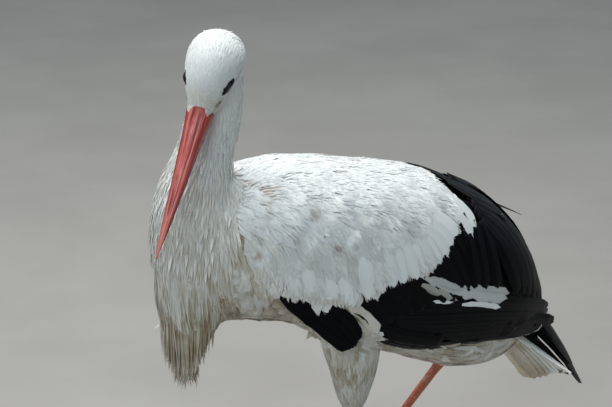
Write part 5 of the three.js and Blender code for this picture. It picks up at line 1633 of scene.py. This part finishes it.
# painted shade: the warm beige outer feathers stand for the shaded underside, the dark brown sixth feather for the
# shadow in a gap
tt = np.zeros((12, 3))
tt[:, 0] = [0.62, 0.60, 0.55, 0.10, 0.08, 1.3, 0.08, 0.10, 0.34, 0.30, 0.26, 0.20]
tt[:, 1] = rng.uniform(0.93, 1.03, 12)
tt[5, 1] = 0.65
vanes(tail, C, M, 12.5, tt, lift=3.4 - 3.2 * np.abs(vs), rise=0.6, tip="round", camber=0.14, notch=0.03, root_reg=BELLYR, thick=0.6)
# soft coverts above and below its root; those below are tinted warmer, painted shade
for up_, cnt in ((1, 26), (-1, 26)):
    v_ = rng.uniform(-1, 1, cnt)
    u0 = rng.uniform(0.02, 0.30, cnt)
    uu = u0[:, None] + np.linspace(0, 1, 10)[None] * rng.uniform(0.20, 0.30, cnt)[:, None]
    C = tail_point(uu, v_[:, None])
    D = tail_point(uu, v_[:, None] + 0.02) - C
    T = unit(np.gradient(C, axis=1))
    M = unit(np.cross(D, T))
    M = np.where(M[..., 2:3] < 0, -M, M) * up_
    vanes(tail, C, M, rng.uniform(8, 11, cnt), white_tint(cnt, 0.3 if up_ < 0 else 0.15), lift=4.5 - 3.2 * np.abs(v_) + rng.uniform(0, 3, cnt) + (3 if up_ < 0 else 0), tip="round", camber=0.2,
          notch=0.06, ragged=0.3, root_reg=BELLYR, quill=0.2)

wing_black.write()
white_long.write()
for s_ in (1, -1):
    primaries[s_].write()
    paddle[s_].write()
tail.write()
print("long feathers ready")


# ---------------------------------------------------------------- bill
def culmen(t):
    return 8.2 + (-13.4 - 8.2) * t - 2.2 * np.sin(np.pi * t) + 0.9 * np.sin(np.pi * t) * t


def tomium(t):
    return -9.2 + (-13.8 + 9.2) * t


def gonys(t):
    return np.where(t < 0.55, -21.5 + 0.7 * t / 0.55, -20.8 + 6.6 * np.clip((t - 0.55) / 0.45, 0, 1) ** 1.25)


def bill_half(t):
    return 15 * np.clip(1 - t, 0, 1) ** 0.82 * (1 - 0.10 * np.sin(np.pi * t)) + 0.45


def bill_limit(l, u):
    return np.where(u < -12, 32.0, 29.6)


def mandible(upper):
    nt, na = 170, 33
    tt_ = np.linspace(0, 1, nt) ** 1.15
    f = 22 + 182 * tt_ ** 0.9 - 6 * (1 - tt_) ** 12
    w = bill_half(tt_)
    mid = tomium(tt_)
    edge = culmen(tt_) if upper else gonys(tt_)
    zero = mid + (0.22 if upper else -0.22)
    edge = np.where(np.abs(edge - zero) < 0.5, zero + (0.5 if upper else -0.5), edge)
    b = np.linspace(0, 1, na)                       # 0 at one cutting edge, 0.5 at the ridge, 1 at the other
    phi = np.pi * b
    flat = 0.80 if upper else 0.86
    ll = np.sign(np.cos(phi)) * np.abs(np.cos(phi)) ** flat
    hh = np.sin(phi) ** (0.78 if upper else 0.86)
    k = np.sin(phi)                                  # 0..1 up the side
    l = w[:, None] * ll[None] * (1.0 if upper else 0.97)
    uu = zero[:, None] + (edge - zero)[:, None] * hh[None]
    F = np.repeat(f[:, None], na, 1)
    if upper:
        # nostril: a slit each side near the base, with a groove running on from it
        for sgn in (1, -1):
            a0 = 0.5 - sgn * 0.265
            d1 = np.exp(-((b - a0) / 0.030) ** 2)[None] * (smoothstep(33, 37, F) - smoothstep(45, 50, F))
            d2 = np.exp(-((b - a0) / 0.045) ** 2)[None] * (smoothstep(28, 36, F) - smoothstep(58, 105, F))
            l = l - sgn * (2.0 * d1 + 0.75 * d2) * np.sign(w[:, None])
            d3 = np.exp(-((b - (0.5 - sgn * 0.42)) / 0.03) ** 2)[None] * (smoothstep(34, 60, F) - smoothstep(150, 190, F))
            l = l - sgn * 0.35 * d3
        # culmen ridge: a soft keel with shallow hollows beside it
        uu = uu - 0.5 * (np.exp(-((b - 0.40) / 0.035) ** 2) + np.exp(-((b - 0.60) / 0.035) ** 2))[None] * (smoothstep(26, 40, F) - smoothstep(150, 195, F))
    else:
        for sgn in (1, -1):
            d3 = np.exp(-((b - (0.5 - sgn * 0.30)) / 0.05) ** 2)[None] * (smoothstep(30, 50, F) - smoothstep(130, 180, F))
            l = l - sgn * 0.6 * d3
    # a little wider at the gape
    l = l * (1 + 0.10 * smoothstep(62, 30, F) * (1 - k[None]))
    # slight unevenness along the horn
    wob = 0.22 * np.sin(F * 0.21 + 3 * b[None]) + 0.14 * np.sin(F * 0.53 + 7 * b[None] + 1.0)
    uu = uu + wob * k[None] * (0.3 if upper else -0.3)
    # tuck the base under the feathers
    lim = bill_limit(l, uu)
    tuck = smoothstep(0.6, -1.2, F - lim)
    cl, cu = 0.0, -6.0
    l = cl + (l - cl) * (1 - 0.20 * tuck)
    uu = cu + (uu - cu) * (1 - 0.20 * tuck)
    top = np.stack([F, l, uu], -1)
    # inner face, slightly hollow, closing the half
    cols = 6
    inner_l = np.linspace(-1, 1, cols + 2)[1:-1]
    inn = np.stack([np.repeat(f[:, None], cols, 1), l[:, -1:] + (l[:, :1] - l[:, -1:]) * (inner_l + 1) / 2, zero[:, None] + (0.35 if upper else -0.35) * (1 - inner_l ** 2)[None] * (w[:, None] / 15)], -1)
    ring = np.concatenate([top, inn], 1)
    r = in_head(ring.reshape(-1, 3)).reshape(ring.shape)
    v, fcs = loft(r)
    nring = ring.shape[1]
    attr = np.zeros((nt, nring, 3))
    attr[:, :na, 0] = k[None]
    attr[..., 1] = ((f - 22) / 182).clip(0, 1)[:, None]
    attr[:, :na, 2] = np.where(b < 0.5, 0.0, 1.7)[None]
    attr[..., 2] += 0 if upper else 5.0
    attr = np.concatenate([attr.reshape(-1, 3), attr[0, :1], attr[-1, :1]])
    if upper:
        bill_mesh.append((v, fcs))
    ob = new_object("bill_upper_horn" if upper else "bill_lower_horn", v, fcs, BILL, attrs={"horn": attr})
    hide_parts("bill_upper" if upper else "bill_lower")


bill_mesh = []
mandible(True)
mandible(False)

# points of small feathers that run out over the bill's base, leaving the ridge and the gape bare
bill_surf = Surface(np.asarray(bill_mesh[0][0], float), np.asarray(bill_mesh[0][1]))
bq = rng.uniform((27.5, -17.5), (38.5, 17.5), (9000, 2))
reach = 30.0 + 7.6 * np.exp(-((np.abs(bq[:, 1]) - 10.6) / 2.9) ** 2) - 1.2 * np.exp(-(bq[:, 1] / 3.2) ** 2)
bq = bq[(bq[:, 0] < reach) & (np.abs(bq[:, 1]) > 2.2)]
bo, bn, bh = bill_surf.cast(in_head(np.stack([bq[:, 0], bq[:, 1], np.full(len(bq), 40.0)], 1)), np.tile(-HEAD[2], (len(bq), 1)))
bo, bn, bq = bo[bh], bn[bh], bq[bh]
keep, cells = [], set()
for i_, p_ in enumerate(bo):
    c_ = tuple(np.floor(p_ / 0.62).astype(int))
    if c_ not in cells:
        cells.add(c_)
        keep.append(i_)
bo, bn, bq = bo[keep], bn[keep], bq[keep]
bd = -np.tile(HEAD[0], (len(bo), 1)) + HEAD[1] * (np.sign(bq[:, 1]) * 0.10)[:, None] + rng.normal(0, 0.10, bo.shape)
bC, bT, bM = march(bill_surf, bo, unit(bd), rng.uniform(2.6, 3.8, len(bo)), 4, 1.2)
bs = np.linspace(0, 1, 4)
rim = Coat("coat_bill_base", WHITE, "white_plumage", relief=0.0)
tb = np.stack([rng.uniform(0.10, 0.42, len(bo)), rng.uniform(0.85, 1.0, len(bo)), np.where(rng.random(len(bo)) < 0.25, rng.uniform(0.2, 0.7, len(bo)), 0.0) * (np.abs(bq[:, 1]) > 6)], 1)
lens_feathers(rim, bC, bT, bM, np.full(len(bo), 3.2), rng.uniform(0.42, 0.62, len(bo)), lance, np.full(len(bo), 0.10),
              -0.25 + 0.75 * np.sin(np.pi * np.clip(bs, 0, 1) * 0.62)[None] + 0 * bC[..., 0], 3, unwrap(bo, np.full(len(bo), HEADR)), tb, jag=0.05, roll=0.05, tip_round=0.0)
rim.write()
print("bill base feathers", len(bo))


# ---------------------------------------------------------------- eyes and the bare skin round them
def head_surface_l(f, u, side, inset):
    o = in_head(np.stack([f, np.full(len(f), side * 60.0), u], 1))
    d = np.tile(-side * HEAD[1], (len(f), 1))
    p, n_, hit = body.cast(o, d)
    l = head_coords(p)[:, 1] * side
    return np.where(hit, l - inset, 20.0)


for side in (1, -1):
    word = "left" if side > 0 else "right"
    # eyeball with a cornea bulge
    nu_, nv_ = 48, 40
    th = np.linspace(0, np.pi, nv_)
    ph = np.linspace(0, 2 * np.pi, nu_, endpoint=False)
    TH, PH = np.meshgrid(th, ph, indexing="ij")
    rad_ = EYE_RADIUS * (1 + 0.035 * np.exp(-(TH / 0.55) ** 2))
    ff, uu, ll = rad_ * np.sin(TH) * np.cos(PH), rad_ * np.sin(TH) * np.sin(PH), rad_ * np.cos(TH)
    flu = np.stack([ff - 1.2, side * (EYE_SPREAD + 0.2 + ll), EYE_RISE - 0.3 + uu], -1)
    v, fcs = loft(in_head(flu.reshape(-1, 3)).reshape(flu.shape))
    at = np.stack([EYE_RADIUS * np.sin(TH) + 20 * (TH > np.pi / 2), PH, 0 * PH], -1).reshape(-1, 3)
    at = np.concatenate([at, at[:1], at[-1:]])
    ob = new_object(f"eyeball_{word}", v, fcs, EYE, attrs={"horn": at})
    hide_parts(f"eye_{word}")
    # lids: an almond of bare skin, pointed towards the bill
    na_, nr_ = 96, 22
    a = np.linspace(0, 2 * np.pi, na_, endpoint=False)
    ca, sa = np.cos(a), np.sin(a)
    rin_f = np.where(ca > 0, 6.2, 5.6)
    rin = np.stack([rin_f * ca, np.where(sa > 0, 3.9, 4.1) * sa * (1 - 0.28 * np.clip(ca, 0, 1) ** 2)], 1)
    out_f = np.where(ca > 0, 14.6, 11.6)
    rout = np.stack([out_f * ca, np.where(sa > 0, 6.7, 7.3) * sa * (1 - 0.45 * np.clip(ca, 0, 1) ** 1.5) - 1.2 * np.clip(ca, 0, 1) ** 2], 1)
    k = np.linspace(0, 1, nr_)
    P2 = rin[None] + (rout - rin)[None] * (k ** 1.2)[:, None, None]
    P2[..., 1] += 0.10 * P2[..., 0] * k[:, None] - 0.3
    P2[..., 0] -= 1.2
    base_l = head_surface_l(P2[..., 0].ravel(), EYE_RISE + P2[..., 1].ravel(), side, 1.1).reshape(nr_, na_)
    rho = np.linalg.norm(rin, axis=1)
    ball = EYE_SPREAD + 0.2 + np.sqrt(np.maximum(EYE_RADIUS ** 2 - rho ** 2, 0.5)) + 0.30
    fall = smoothstep(0, 0.62, k)[:, None]
    l_ = ball[None] * (1 - fall) + base_l * fall
    brow = np.clip(sa, 0, 1)[None] * np.exp(-((k[:, None] - 0.30) / 0.16) ** 2)
    fold = 0.28 * np.sin(k[:, None] * 19 + 0.8 * np.sin(2 * a)[None]) * np.exp(-((k[:, None] - 0.38) / 0.25) ** 2)
    l_ = l_ + 0.55 * np.exp(-((k[:, None] - 0.06) / 0.07) ** 2) + 0.55 * brow + fold - 1.6 * smoothstep(0.86, 1.0, k)[:, None]
    # close towards the eye with a short inward wall
    inner = np.stack([rin[:, 0] * 0.97 - 1.2, side * (ball - 1.5), EYE_RISE - 0.3 + rin[:, 1] * 0.97], 1)
    rings = np.concatenate([inner[None], np.stack([P2[..., 0], side * l_, EYE_RISE + P2[..., 1]], -1)], 0)
    back = rings[-1].copy()
    back[:, 1] = side * 15.0
    rings = np.concatenate([rings, back[None]], 0)
    nr2 = len(rings)
    v = in_head(rings.reshape(-1, 3))
    ii = np.arange(na_)
    jj = (ii + 1) % na_
    fcs = []
    for q_ in range(nr2 - 1):
        p0, p1 = q_ * na_ + ii, q_ * na_ + jj
        fcs += [np.stack([p0, p1, p1 + na_], 1), np.stack([p0, p1 + na_, p0 + na_], 1)]
    fcs = np.concatenate(fcs)
    # close the back so that the piece is one solid rim
    last, first_ = (nr2 - 1) * na_, 0
    fcs = np.concatenate([fcs, np.stack([last + ii, last + jj, first_ + jj], 1), np.stack([last + ii, first_ + jj, first_ + ii], 1)])
    A_, B_, C_ = v[fcs[:, 0]], v[fcs[:, 1]], v[fcs[:, 2]]
    cen = v.mean(0)
    if np.einsum("ij,ij->", A_ - cen, np.cross(B_ - cen, C_ - cen)) < 0:
        fcs = fcs[:, ::-1]
    kk = np.concatenate([[0], k, [1]])
    attr = np.zeros((nr2, na_, 3))
    attr[..., 0] = np.exp(-((kk[:, None] - 0.05) / 0.12) ** 2)
    attr[..., 1] = np.clip(-sa * 1.4 + 0.2, 0, 1)[None]
    ob = new_object(f"eyelids_{word}", v, fcs, LID, attrs={"horn": attr.reshape(-1, 3)})


# ---------------------------------------------------------------- legs, feet and claws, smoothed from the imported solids
def packed(*names):
    parts = []
    for nm in names:
        me = NODES[nm].data
        v = np.zeros(len(me.vertices) * 3, np.float32)
        me.vertices.foreach_get("co", v)
        me.calc_loop_triangles()
        t = np.zeros(len(me.loop_triangles) * 3, np.int32)
        me.loop_triangles.foreach_get("vertices", t)
        parts.append((v.reshape(-1, 3).astype(float) * 1000 + FOOT, t.reshape(-1, 3)))
    return joined(parts)


def even(co_, tri_, rounds, amount):
    e_ = edge_pairs(tri_)
    deg = np.bincount(e_.ravel(), minlength=len(co_))[:, None]
    for r_ in range(rounds):
        s_ = np.zeros_like(co_)
        for ax in range(3):
            s_[:, ax] = np.bincount(e_[:, 0], co_[e_[:, 1], ax], len(co_)) + np.bincount(e_[:, 1], co_[e_[:, 0], ax], len(co_))
        co_ = co_ + (s_ / deg - co_) * (amount if r_ % 2 == 0 else -amount * 0.9)
    return co_


def bone(a, b, ra, rb, n=30):
    p = np.asarray(a, float) + (np.asarray(b, float) - np.asarray(a, float)) * np.linspace(0, 1, n)[:, None]
    r_ = np.linspace(ra, rb, n)
    return loft(limb(p, r_, r_, 20))


for word, ankle, foot, top, aside in (("left", ANKLE_L, FOOT_L, LEG_L_TOP + [0, 0, 24], 1), ("right", ANKLE_R, FOOT_R, TIBIA_R_TOP + [0, -18, 6], -1)):
    v, f_ = packed(f"tibia_{word}", f"tarsus_{word}", f"foot_{word}")
    # bridge the cuts between the solids, and run the shank up into the feathers
    up = unit(top - ankle)
    dn = unit(foot - ankle)
    extra = [(v, f_), bone(ankle + up * 60, top, 5.0, 6.2), bone(ankle - up * 5 + 0 * dn, ankle + up * 8, 7.2, 6.6), bone(foot - dn * 34, foot - dn * 2, 5.0, 5.6)]
    v, f_ = joined(extra)
    lc, lt, lq = remeshed(v, f_, 1.15)
    lc = even(lc, lt, 10, 0.5)
    nrm = vertex_normals(lc, lt)
    # place on the leg: round it and along it
    along_t = np.clip(((lc - ankle) @ dn) / np.linalg.norm(foot - ankle), 0, 1)
    near_foot = ((lc - foot) @ dn) > -14
    on_tarsus = (((lc - ankle) @ dn) > 0) & ~near_foot
    axis_p = np.where(on_tarsus[:, None], ankle + dn * ((lc - ankle) @ dn)[:, None], ankle + up * ((lc - ankle) @ up)[:, None])
    rel = lc - axis_p
    fwd = np.array([0, -1.0, 0]) if aside > 0 else np.array([0, -0.75, 0.66])
    ang_ = np.arctan2(rel[:, 0], rel @ fwd)
    along = np.where(on_tarsus, (lc - ankle) @ dn, -((lc - ankle) @ up))
    horn = np.stack([ang_ * 5.2, along, np.zeros(len(lc))], 1)
    toes = near_foot
    horn[toes] = np.stack([lc[toes, 0] * 1.3, (lc[toes] @ (dn if aside < 0 else np.array([0, -1.0, 0]))) * 1.1, np.full(toes.sum(), 7.0)], 1)
    # broad scutes down the front of the tarsus, small ones elsewhere, rings across the toes
    front = smoothstep(0.2, 0.9, np.cos(ang_)) * on_tarsus
    step = np.abs(((along / 4.4) % 1) - 0.5) * 2
    d_ = 0.22 * front * (1 - step ** 4)
    hexa = np.cos(along * 2 * np.pi / 3.4) * np.cos(ang_ * 6 + (np.floor(along / 3.4) % 2) * np.pi)
    d_ = d_ + 0.12 * (1 - front) * hexa * ~toes
    rings_ = 0.16 * np.cos((lc @ (unit(np.array([0.0, -1.0, 0.0])) if aside > 0 else dn)) * 2 * np.pi / 3.1) * toes * (nrm[:, 2] > -0.2 if aside > 0 else True)
    lc = lc + nrm * (d_ + rings_)[:, None]
    if aside > 0:
        lc[:, 2] = np.maximum(lc[:, 2], 0.0)
    ob = new_object(f"leg_skin_{word}", lc, lq if lq is not None else lt, LEG, attrs={"horn": horn})
    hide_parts(f"tibia_{word}", f"tarsus_{word}", f"foot_{word}")
    for toe in ("middle", "outer", "inner", "hind"):
        nm = f"claw_{word}_{toe}"
        v, f_ = packed(nm)
        cc, ct, cq = remeshed(v, f_, 0.5)
        cc = even(cc, ct, 8, 0.5)
        if aside > 0:
            cc[:, 2] = np.maximum(cc[:, 2], 0.0)
        ob = new_object(f"{nm}_horn", cc, cq if cq is not None else ct, CLAW)
        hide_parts(nm)
print("legs ready")

# ---------------------------------------------------------------- floor, light, camera
me = bpy.data.meshes.new("floor")
s_ = 12.0
me.from_pydata([(-s_, -s_, 0), (s_, -s_, 0), (s_, s_, 0), (-s_, s_, 0)], [], [(0, 1, 2, 3)])
me.materials.append(GROUND)
floor = bpy.data.objects.new("studio_floor", me)
bpy.context.scene.collection.objects.link(floor)

scene = bpy.context.scene
world = bpy.data.worlds.new("studio")
world.use_nodes = True
scene.world = world
bg = world.node_tree.nodes["Background"]
bg.inputs[0].default_value = (0.74, 0.90, 1.0, 1)
bg.inputs[1].default_value = 0.44


def lamp(name, at, aim, size, power, colour):
    data = bpy.data.lights.new(name, "AREA")
    data.shape = "DISK"
    data.size = size
    data.energy = power
    data.color = colour
    ob = bpy.data.objects.new(name, data)
    ob.location = at
    d = Vector(aim) - Vector(at)
    ob.rotation_euler = d.to_track_quat("-Z", "Y").to_euler()
    scene.collection.objects.link(ob)
    return ob


lamp("overhead_softbox", (-0.75, -0.25, 3.3), (0, 0, 0.5), 2.4, 122, (1.0, 0.99, 0.97))
lamp("front_fill", (2.4, -2.6, 2.6), (0, 0, 0.5), 2.2, 60, (0.84, 0.95, 1.0))

camera = bpy.data.cameras.new("camera")
camera.lens = 146.7
camera.sensor_width = 36.0
camera.clip_end = 60
cam = bpy.data.objects.new("camera", camera)
cam.location = (2.39224, -1.44089, 1.45205)
d = Vector((-0.003, -0.058, 0.58)) - Vector(cam.location)
cam.rotation_euler = d.to_track_quat("-Z", "Y").to_euler()
scene.collection.objects.link(cam)
scene.camera = cam
scene.view_settings.view_transform = "Standard"

bpy.context.view_layer.update()
